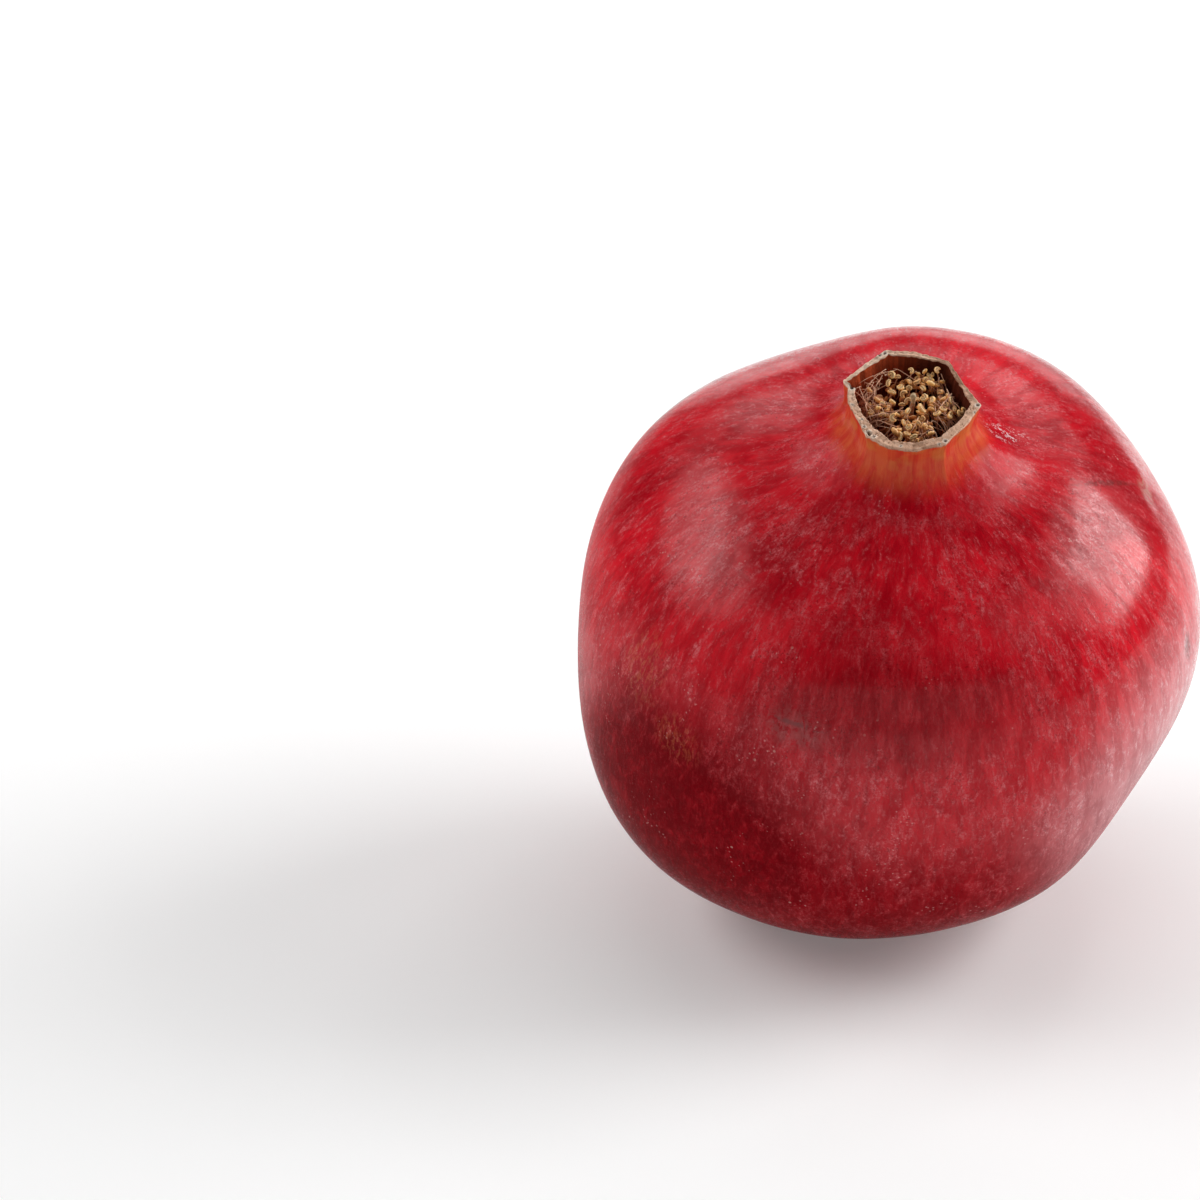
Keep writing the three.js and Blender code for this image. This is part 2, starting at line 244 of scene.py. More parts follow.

# Lesser tones of the skin and the crown, some of them painted light and shade.
GLINT_PINK = (0.72, 0.34, 0.33)
DOT_TAN = (0.70, 0.36, 0.32)
LINE_BROWN = (0.09, 0.03, 0.025)
ROUGH_TAN = (0.42, 0.22, 0.16)
PIT_BROWN = (0.17, 0.055, 0.05)
CREASE_SHADE_RED = (0.14, 0.01, 0.01)
GRAZE_GREY = (0.30, 0.16, 0.15)
SCRATCH_BROWN = (0.10, 0.05, 0.05)
CROWN_GLINT_PINK = (0.78, 0.58, 0.60)
CRUMB_CREAM = (0.86, 0.70, 0.56)
LIP_HIGHLIGHT_CREAM = (0.95, 0.78, 0.62)
PORE_RING_CREAM = (0.92, 0.80, 0.68)
PORE_SHADE_BROWN = (0.03, 0.012, 0.008)

# Tones of the stamens, the style and the stem, with painted shade deep in the cup and in the heads'
# hollows.
CUP_DEPTH_SHADE = (0.20, 0.036, 0.014)
HOLLOW_SHADE_BROWN = (0.19, 0.060, 0.016)
DUST_GREY = (0.58, 0.46, 0.32)
RING_BROWN = (0.20, 0.12, 0.065)
WOOD_TAN = (0.40, 0.27, 0.16)
PITH_BROWN = (0.07, 0.04, 0.025)
BARK_RANGE = (0.4, 1.5)  # the bark's darkest and lightest, as shares of its colour

# How rough each finish is, and how high the finest grain stands.
SKIN_ROUGHNESS = 0.27
WAX_ROUGHNESS = 0.16
DRY_ROUGHNESS = 0.85
ANTHER_ROUGHNESS = 0.6
STYLE_ROUGHNESS = 0.8
CROWN_RELIEF = 0.24 * MM
ANTHER_RELIEF = 0.06 * MM
STYLE_RELIEF = 0.1 * MM
BARK_RELIEF = 0.25 * MM


def smooth(value, low, high):
    """Runs from 0 at low to 1 at high, easing in and out."""
    share = min(max((value - low) / (high - low), 0.0), 1.0)
    return share * share * (3.0 - 2.0 * share)


def polar(radius, azimuth, height):
    angle = math.radians(azimuth)
    return Vector((radius * math.cos(angle), radius * math.sin(angle), height))


def dimmed(colour, share):
    return tuple(share * part for part in colour)


def bell(distance, spread):
    return math.exp(-((distance / spread) ** 2))


def lumps(point, size):
    """Soft noise between about -1 and 1, whose lumps are about this size."""
    return noise.noise(point / size)


def relief(point, height, size):
    """How far lumps of this height and size, in millimetres, raise the surface at a point."""
    return height * MM * lumps(point, size * MM)


def unrolled(sideways, ring, height):
    """A place for noise that is as wide everywhere round the axis, whatever the true radius."""
    return sideways * ring + Vector((0, 0, height))


def sideways_of(point):
    return Vector((point.x, point.y, 0)).normalized()


def bend(start, control, end, step):
    """Points along a bend, without its start."""
    length = (control - start).length + (end - control).length
    count = max(2, round(length / step))
    points = []
    for i in range(1, count + 1):
        t = i / count
        points.append(start * (1 - t) ** 2 + control * (2 * t * (1 - t)) + end * t**2)
    return points


def straight(start, end, step):
    return bend(start, (start + end) / 2, end, step)


def crown_at(azimuth):
    """The crown's radius, thickness and rise at an azimuth, on the straight side between two corners."""
    for here, there in zip(CROWN, CROWN[1:] + CROWN[:1]):
        span = (there[0] - here[0]) % 360
        past = (azimuth - here[0]) % 360
        if past < span:
            break
    start, end = here[1] * MM, there[1] * MM
    across = start * end * math.sin(math.radians(span))
    along = start * math.sin(math.radians(past)) + end * math.sin(math.radians(span - past))
    share = smooth(past / span, 0, 1)
    thickness = (here[2] + (there[2] - here[2]) * share) * MM
    rise = (here[3] + (there[3] - here[3]) * share) * MM
    return across / along, thickness, rise


def distance(name, description, millimetres, least, most):
    """A size that a user can change, given in millimetres."""
    return FloatProperty(
        name=name, description=description, default=millimetres * MM, min=least * MM, max=most * MM,
        subtype="DISTANCE", unit="LENGTH")


def tint(name, description, colour):
    """A colour that a user can change."""
    return FloatVectorProperty(
        name=name, description=description, default=colour, min=0, max=1, subtype="COLOR", size=3)


class RindSettings(bpy.types.PropertyGroup):
    equator_radius: distance("Equator radius", "Half the width of the fruit", 49, 20, 80)
    shoulder_height: distance(
        "Shoulder height", "From the centre up to the shoulder under the crown", 42.5, 20, 80)
    base_depth: distance("Base depth", "From the centre down to the stem end", 42.3, 20, 80)
    neck_radius: distance("Neck radius", "The crown's narrowest part", 10.2, 5, 14)
    rim_radius: distance("Rim radius", "The round rim, before the crown gets its corners", 10.6, 6, 16)
    rim_height: distance("Rim height", "From the centre up to the rim", 53.3, 48, 80)
    rim_thickness: distance(
        "Rim thickness", "The wall at the rim, before it is broken unevenly", 1.4, 0.5, 3)
    cup_radius: distance("Cup radius", "Inside the crown", 8.7, 4, 12)
    cup_floor_height: distance("Cup floor", "From the centre up to the floor of the cup", 42, 38, 48)
    turn_steps: IntProperty(
        name="Steps round", description="Faces in one turn of the rind", default=360, min=90, max=380)
    thread_relief: distance("Thread relief", "How far the threads stand out of the skin", 0.026, 0, 0.2)
    skin_index: FloatProperty(
        name="Skin gloss", description="The skin's index of refraction: a higher one is shinier",
        default=1.05, min=1.0, max=1.6)
    wax_index: FloatProperty(
        name="Wax gloss", description="The index of refraction of the wax over it",
        default=1.37, min=1.0, max=1.6)
    deep_red: tint("Deep red", "The darkest skin", (0.37, 0.0010, 0.0075))
    bright_red: tint("Bright red", "The livelier skin", (0.68, 0.007, 0.018))
    blush: tint("Blush", "Pale threads and specks in the skin", (0.66, 0.135, 0.15))
    # Partly the skin's own paler bloom, partly a painted reflection.
    bloom_and_reflection: tint("Bloom", "The paler, pinker side", (0.76, 0.43, 0.45))
    unripe: tint("Unripe tint", "Yellow-green hints in the skin and on the neck", (0.56, 0.27, 0.055))
    neck_red: tint("Neck red", "The crown's outside, in its redder fibres", (0.58, 0.036, 0.020))
    neck_orange: tint("Neck orange", "The crown's outside, between them", (0.66, 0.108, 0.036))
    dry_rim: tint("Dry rim", "The crown's broken, dried edge", (0.76, 0.48, 0.34))
    rim_brown: tint("Rim brown", "The rim's darker edges and cracks", (0.26, 0.125, 0.07))
    cup_brown: tint("Cup brown", "The dried wall inside the crown", (0.11, 0.022, 0.011))
    # Painted light on one side of the cup's wall.
    cup_lit_red: tint("Cup red", "The wall's redder side", (0.52, 0.085, 0.030))


class FlowerSettings(bpy.types.PropertyGroup):
    filament_diameter: distance("Filament diameter", "A stamen's thin stalk at its foot", 0.3, 0.1, 1)
    more: IntProperty(
        name="More stamens", description="Stamens in the tangle, besides the main ones",
        default=140, min=0, max=160)
    loose: IntProperty(
        name="Loose filaments", description="Fine stalks that have lost their heads",
        default=100, min=0, max=120)
    seed: IntProperty(
        name="Seed", description="Another number gives another tangle", default=7, min=0)
    style_radius: distance("Style radius", "The style's stalk", 0.42, 0.2, 2)
    stigma_radius: distance("Stigma radius", "The knob on the style", 0.45, 0.3, 2)
    anther_tan: tint("Anther", "Golden stamen heads", (1.0, 0.55, 0.16))
    # Painted highlight on the heads' upper lips.
    anther_highlight: tint("Anther lips", "The heads' paler edges", (1.0, 0.82, 0.50))
    # Low heads get painted shade with this brown; it also gives random darker dust.
    anther_brown: tint("Old anther", "Deeper heads, orange brown", (0.72, 0.25, 0.065))
    # Stalks deep in the cup get painted shade, brown, and high ones painted light, pink.
    filament_brown: tint("Filament brown", "Stalks deep in the cup", (0.46, 0.13, 0.045))
    filament_pink: tint("Filament pink", "Stalks in the light", (1.0, 0.62, 0.42))
    stigma_grey: tint("Stigma", "The dried style", (0.46, 0.31, 0.17))


class StemSettings(bpy.types.PropertyGroup):
    radius: distance("Stub radius", "The stem's woody stub", 2.7, 1, 5)
    collar_radius: distance("Collar radius", "Where the stub meets the rind", 3.3, 1, 6)
    length: distance("Stub length", "From the rind to the cut", 3.6, 1, 8)
    bark: tint("Bark", "The stub's bark", (0.16, 0.09, 0.05))


class StageSettings(bpy.types.PropertyGroup):
    floor_size: FloatProperty(
        name="Floor size", description="The floor's side",
        default=8.0, min=1, max=30, subtype="DISTANCE", unit="LENGTH")
    floor_colour: tint("Floor", "The plain pale floor", (0.86, 0.86, 0.86))
    floor_glow: FloatProperty(
        name="Floor glow", description="How evenly bright the floor stays",
        default=0.14, min=0, max=2)
    room_light: FloatProperty(
        name="Room light", description="The dim room beyond the lights",
        default=0.02, min=0, max=2)
    side_light: FloatProperty(
        name="Side light", description="Brightness of the lights at both sides",
        default=1.0, min=0, max=10)
    back_light: FloatProperty(
        name="Back light", description="Brightness of the panels behind",
        default=1.0, min=0, max=10)
    camera_distance: FloatProperty(
        name="Camera distance", description="From the camera to what it looks at",
        default=1.1, min=0.3, max=5, subtype="DISTANCE", unit="LENGTH")
    camera_lens: FloatProperty(
        name="Lens", description="The camera's focal length",
        default=210.2, min=20, max=400, unit="CAMERA")


# ---------------------------------------------------------------- materials


class Number:
    """A number that varies over a surface. Sums with it add their own nodes."""

    def __init__(self, paint, socket):
        self.paint = paint
        self.socket = socket

    def _math(self, operation, first, second):
        node = self.paint.node("ShaderNodeMath", {"operation": operation}, {0: first, 1: second})
        return Number(self.paint, node.outputs[0])

    def __add__(self, other):
        return self._math("ADD", self, other)

    def __radd__(self, other):
        return self._math("ADD", other, self)

    def __sub__(self, other):
        return self._math("SUBTRACT", self, other)

    def __rsub__(self, other):
        return self._math("SUBTRACT", other, self)

    def __mul__(self, other):
        return self._math("MULTIPLY", self, other)

    def __rmul__(self, other):
        return self._math("MULTIPLY", other, self)

    def __truediv__(self, other):
        return self._math("DIVIDE", self, other)

    def __rtruediv__(self, other):
        return self._math("DIVIDE", other, self)

    def __pow__(self, other):
        return self._math("POWER", self, other)

    def __rpow__(self, other):
        return self._math("POWER", other, self)

    def most(self, other):
        return self._math("MAXIMUM", self, other)

    def least(self, other):
        return self._math("MINIMUM", self, other)

    def turn_from(self, other):
        """The angle whose tangent is this over the other."""
        return self._math("ARCTAN2", self, other)

    def eased(self, low, high):
        """0 at low, 1 at high, and smooth between. Low may be the larger."""
        node = self.paint.node(
            "ShaderNodeMapRange",
            {"interpolation_type": "SMOOTHSTEP", "clamp": True},
            {0: self, 1: low, 2: high, 3: 0.0, 4: 1.0},
        )
        return Number(self.paint, node.outputs[0])


class Paint:
    """One material's nodes."""

    def __init__(self, name):
        self.material = bpy.data.materials.new(name)
        self.material.use_nodes = True
        self.tree = self.material.node_tree
        self.tree.nodes.clear()
        self.output = self.node("ShaderNodeOutputMaterial")

    def node(self, kind, settings=None, sockets=None):
        """Adds a node. Its settings come first, then the values or links of its sockets."""
        node = self.tree.nodes.new(kind)
        for key, value in (settings or {}).items():
            setattr(node, key, value)
        for key, value in (sockets or {}).items():
            socket = node.inputs[key]
            if isinstance(value, Number):
                value = value.socket
            if isinstance(value, bpy.types.NodeSocket):
                self.tree.links.new(value, socket)
            elif socket.type == "RGBA":
                socket.default_value = tuple(value) + (1.0,)
            else:
                socket.default_value = value
        return node

    def split(self, vector):
        node = self.node("ShaderNodeSeparateXYZ", None, {0: vector})
        return [Number(self, socket) for socket in node.outputs]

    def join(self, x, y, z):
        return self.node("ShaderNodeCombineXYZ", None, {0: x, 1: y, 2: z}).outputs[0]

    def on_vectors(self, operation, first, second):
        return self.node("ShaderNodeVectorMath", {"operation": operation}, {0: first, 1: second})

    def stretched(self, vector, scale):
        return self.on_vectors("MULTIPLY", vector, scale).outputs[0]

    def dot(self, vector, other):
        return Number(self, self.on_vectors("DOT_PRODUCT", vector, other).outputs["Value"])

    def layer(self, name):
        """A value kept on the mesh."""
        node = self.node("ShaderNodeAttribute", {"attribute_name": name})
        return Number(self, node.outputs["Fac"])

    def clouds(self, vector, scale, detail=2.0, roughness=0.5, distortion=0.0):
        """Soft noise about 0.5."""
        sockets = {
            "Vector": vector,
            "Scale": scale,
            "Detail": detail,
            "Roughness": roughness,
            "Distortion": distortion,
        }
        return Number(self, self.node("ShaderNodeTexNoise", None, sockets).outputs[0])

    def cells(self, vector, scale):
        """How far the nearest of many scattered points is."""
        node = self.node("ShaderNodeTexVoronoi", {"feature": "F1"}, {"Vector": vector, "Scale": scale})
        return Number(self, node.outputs["Distance"])

    def mix(self, factor, first, second):
        """Two colours mixed. A colour is a link or three numbers."""
        settings = {"data_type": "RGBA", "blend_type": "MIX", "clamp_factor": True}
        node = self.node("ShaderNodeMix", settings, {0: factor, 6: first, 7: second})
        return node.outputs[2]

    def bump(self, height, depth, under=None):
        sockets = {"Height": height, "Distance": depth, "Strength": 1.0}
        if under is not None:
            sockets["Normal"] = under
        return self.node("ShaderNodeBump", None, sockets).outputs[0]

    def surface(self, **sockets):
        """The Principled shader, with its sockets by name. Underscores stand for spaces."""
        named = {key.replace("_", " "): value for key, value in sockets.items()}
        shader = self.node("ShaderNodeBsdfPrincipled", None, named)
        self.tree.links.new(shader.outputs[0], self.output.inputs[0])
        return self.material


class FruitPaint(Paint):
    """Paint whose patterns lie in the fruit's own frame, in millimetres."""

    def __init__(self, name):
        super().__init__(name)
        sockets = {
            "Vector": self.node("ShaderNodeTexCoord").outputs["Object"],
            "Location": CENTRE,
            "Rotation": LEANING.to_euler("XYZ"),
            "Scale": (MM, MM, MM),
        }
        mapping = self.node("ShaderNodeMapping", {"vector_type": "TEXTURE"}, sockets)
        self.place = mapping.outputs["Vector"]
        self.x, self.y, self.z = self.split(self.place)

    def from_axis(self):
        return (self.x * self.x + self.y * self.y) ** 0.5


class SkinPaint(FruitPaint):
    """The rind's paint: waxy red skin, and the crown's neck, dry rim and brown cup."""

    def __init__(self, rind):
        super().__init__("pomegranate_rind")
        self.rind = rind
        self.radius = self.from_axis()
        self.along = self.radius.turn_from(self.z) * SKIN_RADIUS
        self.streaks = self.woven(*STREAKS)
        self.patches = self.woven(*PATCHES)
        self.mottles = self.woven(*MOTTLES)
        self.threads = self.woven(*THREADS)
        self.mist = self.clouds(self.place, 2.6, 3.0, 0.7, 0.4).eased(0.38, 0.62)
        flecks_and_glints = self.clouds(self.place, 2.2, 2.0, 0.6, 0.5).eased(0.42, 0.30)
        self.gaps = flecks_and_glints * (self.patches * 0.45 + 0.15)
        self.crumbs = self.clouds(self.place, 1.5, 4.0, 0.65, 0.3)
        # A side of painted shade, and a band of painted shade with fewer pale threads.
        self.shaded = self.spot(*SHADED_SIDE)
        self.clear = self.spot(*CLEAR_SHADED_BAND)
        self.line = self.spot(*DARK_LINE)
        self.pit = self.spot(*BROWN_PIT)
        self.rim = self.layer("rim")
        self.cup = self.layer("cup")
        self.edge = (self.rim + (self.crumbs - 0.5) * 0.7).eased(0.42, 0.60)

    def woven(self, scale, squeeze, detail, roughness, distortion, shift, low, high):
        """Noise drawn out along the lines from the crown to the stem end, as wide there as here.

        Its rings are cross-faded, because lines on one ring would crowd together at the crown. Each ring is
        eased from low to high first, so that none loses its contrast."""
        result = None
        for ring, starts, full in WOVEN_RINGS:
            across, deep = self.x / self.radius * ring + shift, self.y / self.radius * ring
            turned = self.join(across, deep, self.along * squeeze + ring)
            layer = self.clouds(turned, scale, detail, roughness, distortion).eased(low, high)
            if result is None:
                result = layer
            else:
                result = result + (layer - result) * self.radius.eased(starts, full)
        return result

    def spot(self, azimuth, latitude, reach, radii, lean=0):
        """1 at a place on the skin, fading to 0 at this many millimetres across and up and down."""
        latitude = math.radians(latitude)
        middle = polar(reach * math.cos(latitude), azimuth, reach * math.sin(latitude))
        outward = middle.normalized()
        across = Vector((0, 0, 1)).cross(outward).normalized()
        up = outward.cross(across)
        turn = Matrix.Rotation(math.radians(lean), 3, outward)
        away = self.on_vectors("SUBTRACT", self.place, middle).outputs[0]
        a = self.dot(away, turn @ across / radii[0])
        b = self.dot(away, turn @ up / radii[1])
        c = self.dot(away, outward / (3 * max(radii)))
        return (a * a + b * b + c * c).eased(1.0, 0.0)

    def reds(self):
        """Wide blotches and long streaks of livelier and deeper red, under painted shade low down, on one
        side, in a band and on the right shoulder.
        """
        rind = self.rind
        drawn_out = self.stretched(self.place, (1, 1, 0.7))
        blotches = self.clouds(drawn_out, 0.05, 2.0, 0.5, 0.3).eased(0.40, 0.60)
        colour = self.mix(blotches * 0.45 + self.streaks * 0.55, rind.deep_red, rind.bright_red)
        # Painted shade: darker low down, on the shaded side, in the clear band and on the right shoulder.
        painted_shade = self.z.eased(24.0, -20.0) * 0.8 + self.shaded * 0.78
        painted_shade = (painted_shade + self.clear * 0.36 + self.spot(*SHADED_RIGHT_SHOULDER) * 0.42).least(0.92)
        painted_shade = painted_shade * (1.0 - self.mottles * 0.17 - self.threads * 0.13)
        return self.mix(painted_shade, colour, dimmed(rind.deep_red, 0.36))

    def mottled(self, colour):
        """Pale mottles in wide patches, threads and mist over both, darker flecks, painted glints, and a
        pale bloom that is partly a painted reflection.
        """
        rind, patches, mottles, threads = self.rind, self.patches, self.mottles, self.threads
        pale = patches * 0.06 + mottles * (patches * 0.20 + 0.06)
        pale = pale + threads * (mottles * 0.34 + patches * 0.12 + 0.06)
        # Fewer pale threads low down, on the shaded side and in the clear band, which deepens the painted
        # shade there.
        clearer = self.clear * 0.8 + self.shaded * 0.72 + self.z.eased(14.0, -8.0) * 0.5
        pale = pale * (self.mist + 0.35) * (1.0 - clearer.least(0.93))
        colour = self.mix(pale, colour, rind.blush)
        colour = self.mix(self.gaps, colour, dimmed(rind.deep_red, 0.4))

        clusters = self.clouds(self.place, 0.14, 2.0, 0.6, 0.0).eased(0.56, 0.66)
        # Painted glints: small pink sparkles in clusters.
        painted_glints = self.cells(self.place, 1.15).eased(0.25, 0.10) * clusters * self.mist
        colour = self.mix(painted_glints * 0.6, colour, GLINT_PINK)
        # The bloom is partly the skin's own and partly a painted reflection.
        bloom_and_reflection = (self.spot(*LOW_BLOOM_AND_REFLECTION) + self.spot(*HIGH_BLOOM_AND_REFLECTION) * 0.4).least(1.0)
        colour = self.mix(bloom_and_reflection * (0.34 + self.streaks * 0.12 + pale * 0.75), colour, rind.bloom_and_reflection)
        dots = self.cells(self.place, 0.33).eased(0.10, 0.05) * clusters
        colour = self.mix(dots * 0.5, colour, DOT_TAN)
        unripe = (self.spot(*UNRIPE_UPPER) + self.spot(*UNRIPE_LOWER)) * threads * 0.12
        return self.mix(unripe, colour, rind.unripe)

    def scarred(self, colour):
        """A dark line, rough patches, a brown pit, the painted shade of a crease, a grey scratch and
        painted glints by the crown.
        """
        frayed = self.woven(*FRAYING)
        # Painted highlights: glints by the crown.
        flecks_and_glints = self.spot(*CROWN_GLINTS) * (self.mist * self.threads).eased(0.15, 0.5)
        for scar, tone in (
            (self.line * frayed * 0.5, LINE_BROWN),
            (self.spot(*ROUGH_PATCH) * frayed * 0.55, ROUGH_TAN),
            (self.pit * (frayed * 0.4 + 0.3), PIT_BROWN),
            # A painted crease shade.
            (self.spot(*CREASE_SHADE) * 0.2, CREASE_SHADE_RED),
            (self.spot(*GRAZE) * frayed * 0.22, GRAZE_GREY),
            (self.spot(*SCRATCH) * frayed * 0.45, SCRATCH_BROWN),
            (flecks_and_glints * 0.8, CROWN_GLINT_PINK),
        ):
            colour = self.mix(scar, colour, tone)
        return colour

    def neck(self, colour):
        """The neck under the crown, orange where it has ripened least."""
        rind = self.rind
        tone = self.mix(self.woven(*NECK_FIBRES), rind.neck_red, rind.neck_orange)
        greener = self.clouds(self.place, 0.30, 2.0, 0.5, 0.0).eased(0.50, 0.66)
        tone = self.mix(greener * self.z.eased(46.0, 50.5) * 0.35, tone, rind.unripe)
        return self.mix(self.layer("neck") * 0.88, colour, tone)

    def rim_tone(self):
        """The dried rim, brown at its edges and in its cracks, with a painted highlight on one lip."""
        rind, crumbs = self.rind, self.crumbs
        tone = self.mix(crumbs.eased(0.33, 0.47), rind.rim_brown, rind.dry_rim)
        tone = self.mix(crumbs.eased(0.55, 0.70) * 0.6, tone, CRUMB_CREAM)
        # A painted highlight on one lip.
        tone = self.mix(self.spot(*LIT_LIP_HIGHLIGHT) * 0.5, tone, LIP_HIGHLIGHT_CREAM)
        weathered = self.clouds(self.place, 0.33, 2.0, 0.6, 0.0).eased(0.50, 0.64) * 0.4
        browned = self.spot(*BROWN_LIP) * 0.4 + self.spot(*FRONT_LIP) * 0.28
        tone = self.mix(weathered + browned, tone, rind.rim_brown)
        fraying = (self.edge - (self.rim + (crumbs - 0.5) * 0.4).eased(0.60, 0.86)).most(0.0)
        return self.mix(fraying * 0.55, tone, rind.rim_brown)

    def cup_tone(self):
        """The cup's wall, with painted light, in red, on one side."""
        rind, fibres = self.rind, self.woven(*WALL_FIBRES)
        tone = self.mix(fibres, dimmed(rind.cup_brown, 0.5), rind.cup_brown)
        # Painted light: the wall redder on one side.
        return self.mix(self.spot(*LIT_RED_WALL) * (fibres * 0.6 + 0.4), tone, rind.cup_lit_red)

    def dried(self, colour):
        """The crown's dried rim and cup, over the skin, with painted shade in the rim's pores."""
        outside = self.mix(self.edge, colour, self.rim_tone())
        colour = self.mix(self.cup * (1.0 - self.edge), outside, self.cup_tone())
        colour = self.mix(self.layer("pore_ring") * 0.8, colour, PORE_RING_CREAM)
        # Painted shade in the pores' holes.
        return self.mix(self.layer("pore"), colour, PORE_SHADE_BROWN)


def skin_material(rind):
    """Waxy red skin with pale threads, and the crown's neck, dry rim and brown cup."""
    paint = SkinPaint(rind)
    colour = paint.scarred(paint.mottled(paint.reds()))
    colour = paint.dried(paint.neck(colour))

    # The wax shines in streaks, hardly at all round the crown, and less low down and on one side.
    dry = (paint.edge + paint.cup).least(1.0)
    round_crown = paint.z.eased(36.0, 44.0) * paint.radius.eased(25.0, 14.0)
    dull = (paint.shaded + paint.spot(*DULL_BACK) + paint.z.eased(10.0, -8.0)).least(1.0)
    wax = paint.streaks * 0.25 + paint.threads * 0.35 + paint.mist * 0.25 + 0.42
    wax = wax * (1.0 - round_crown * 0.7) * (1.0 - dull * 0.92) * (1.0 - dry)
    satin = SKIN_ROUGHNESS + round_crown * 0.2 + paint.gaps * 0.2
    roughness = satin + (DRY_ROUGHNESS - satin) * dry

    # Raised threads and mottles, sunken scars, and the crumbs of the dried crown.
    raised = paint.streaks * 0.7 + paint.mottles * 0.8 + paint.threads * 0.6
    raised = raised + paint.mist * (0.3 - paint.pit * 1.6 - paint.line)
    normal = paint.bump(raised * (1.0 - dry), rind.thread_relief)
    normal = paint.bump(paint.crumbs * dry, CROWN_RELIEF, normal)
    return paint.surface(
        Base_Color=colour, Roughness=roughness, Normal=normal, IOR=rind.skin_index,
        Coat_Weight=wax, Coat_Roughness=WAX_ROUGHNESS, Coat_IOR=rind.wax_index)


def stamen_material(flower):
    """Dried filaments and anthers: golden heads with painted shade in their hollows and painted highlights
    on their lips, on pinkish stalks, all painted darker deep in the cup.
    """
    paint = FruitPaint("pomegranate_stamens")
    head, hollow, lip, tone = (paint.layer(name) for name in STAMEN_LAYERS)
    dust = paint.clouds(paint.place, 5.0, 3.0, 0.6, 0.2)
    # Painted shade: stalks browner low in the cup, pinker high up.
    stalk = paint.mix(tone, flower.filament_brown, flower.filament_pink)
    stalk = paint.mix(paint.z.eased(49.5, 44.0) * 0.8, stalk, CUP_DEPTH_SHADE)
    # Painted shade and light: low heads browner, high ones golden.
    ochre = paint.mix(tone, flower.anther_brown, flower.anther_tan)
    # Painted highlights on the heads' upper lips.
    ochre = paint.mix(lip * (tone * 0.75 + 0.2) * dust.eased(0.36, 0.56), ochre, flower.anther_highlight)
    ochre = paint.mix(dust.eased(0.46, 0.34) * 0.4, ochre, flower.anther_brown)
    # Painted shade in the heads' splits and hollows.
    ochre = paint.mix(hollow * 0.85, ochre, HOLLOW_SHADE_BROWN)
    colour = paint.mix(head, stalk, ochre)
    normal = paint.bump(dust, ANTHER_RELIEF)
    return paint.surface(Base_Color=colour, Roughness=ANTHER_ROUGHNESS, Normal=normal)


def style_material(flower):
    """A dried, greyish knob on a browner stalk."""
    paint = FruitPaint("pomegranate_style")
    dust = paint.clouds(paint.place, 3.2, 3.0, 0.6, 0.2)
    colour = paint.mix(paint.z.eased(50.8, 52.0), flower.filament_brown, flower.stigma_grey)
    colour = paint.mix(dust.eased(0.45, 0.6) * 0.6, colour, DUST_GREY)
    normal = paint.bump(dust, STYLE_RELIEF)
    return paint.surface(Base_Color=colour, Roughness=STYLE_ROUGHNESS, Normal=normal)


def stem_material(stem):
    """Weathered bark with a paler, ringed cut."""
    paint = FruitPaint("pomegranate_stem")
    radius = paint.from_axis()
    grain = paint.clouds(paint.stretched(paint.place, (1, 1, 0.2)), 1.6, 4.0, 0.6, 0.2)
    rings = paint.clouds(paint.join(radius, 0.0, 0.0), 2.4, 2.0, 0.5, 0.0)
    darkest, lightest = (dimmed(stem.bark, share) for share in BARK_RANGE)
    bark = paint.mix(grain.eased(0.36, 0.62), darkest, lightest)
    wood = paint.mix(rings.eased(0.4, 0.6), RING_BROWN, WOOD_TAN)
    wood = paint.mix(radius.eased(0.7, 0.2), wood, PITH_BROWN)
    colour = paint.mix(paint.layer("cut"), bark, wood)
    normal = paint.bump(grain, BARK_RELIEF)
    return paint.surface(Base_Color=colour, Roughness=DRY_ROUGHNESS, Normal=normal)


# ---------------------------------------------------------------- the pieces


def settle(bm):
    """Leans the fruit and sets it down in the row frame."""
    for vert in bm.verts:
        vert.co = LEANING @ vert.co + CENTRE


def finish_piece(bm, name, material, replaced=()):
    """Makes the piece from its mesh, smooth shaded, riding on the fruit's body."""
    mesh = bpy.data.meshes.new(name)
    bm.to_mesh(mesh)
    bm.free()
    mesh.shade_smooth()
    mesh.materials.append(material)
    piece = bpy.data.objects.new(name, mesh)
    bpy.context.scene.collection.objects.link(piece)
    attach(piece, BODY)
    if replaced:
        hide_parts(*replaced)
    return piece


def draw_profile(bm, points):
    """A line of vertices in the XZ plane, ready to spin."""
    verts = [bm.verts.new((point.x, 0, point.y)) for point in points]
    return verts + [bm.edges.new(pair) for pair in zip(verts, verts[1:])]


def spin_profile(bm, points, steps):
    """Turns a profile about the axis into a closed shape."""
    line = draw_profile(bm, points)
    bmesh.ops.spin(
        bm, geom=line, cent=(0, 0, 0), axis=(0, 0, 1), angle=2 * math.pi, steps=steps,
        use_merge=True, use_duplicate=False)
    bmesh.ops.remove_doubles(bm, verts=bm.verts, dist=TINY)
    bmesh.ops.recalc_face_normals(bm, faces=bm.faces)


def on_body(angle, rind):
    """A point of the body's outline, seen from its centre at this angle above the equator."""
    depth = rind.base_depth if angle < 0 else rind.shoulder_height
    across = (abs(math.cos(angle)) / rind.equator_radius) ** FULLNESS
    upright = (abs(math.sin(angle)) / depth) ** FULLNESS
    radius = (across + upright) ** (-1 / FULLNESS)
    return Vector((radius * math.cos(angle), radius * math.sin(angle)))


def shoulder_height(radius, rind):
    share = 1 - (radius / rind.equator_radius) ** FULLNESS
    return rind.shoulder_height * share ** (1 / FULLNESS)


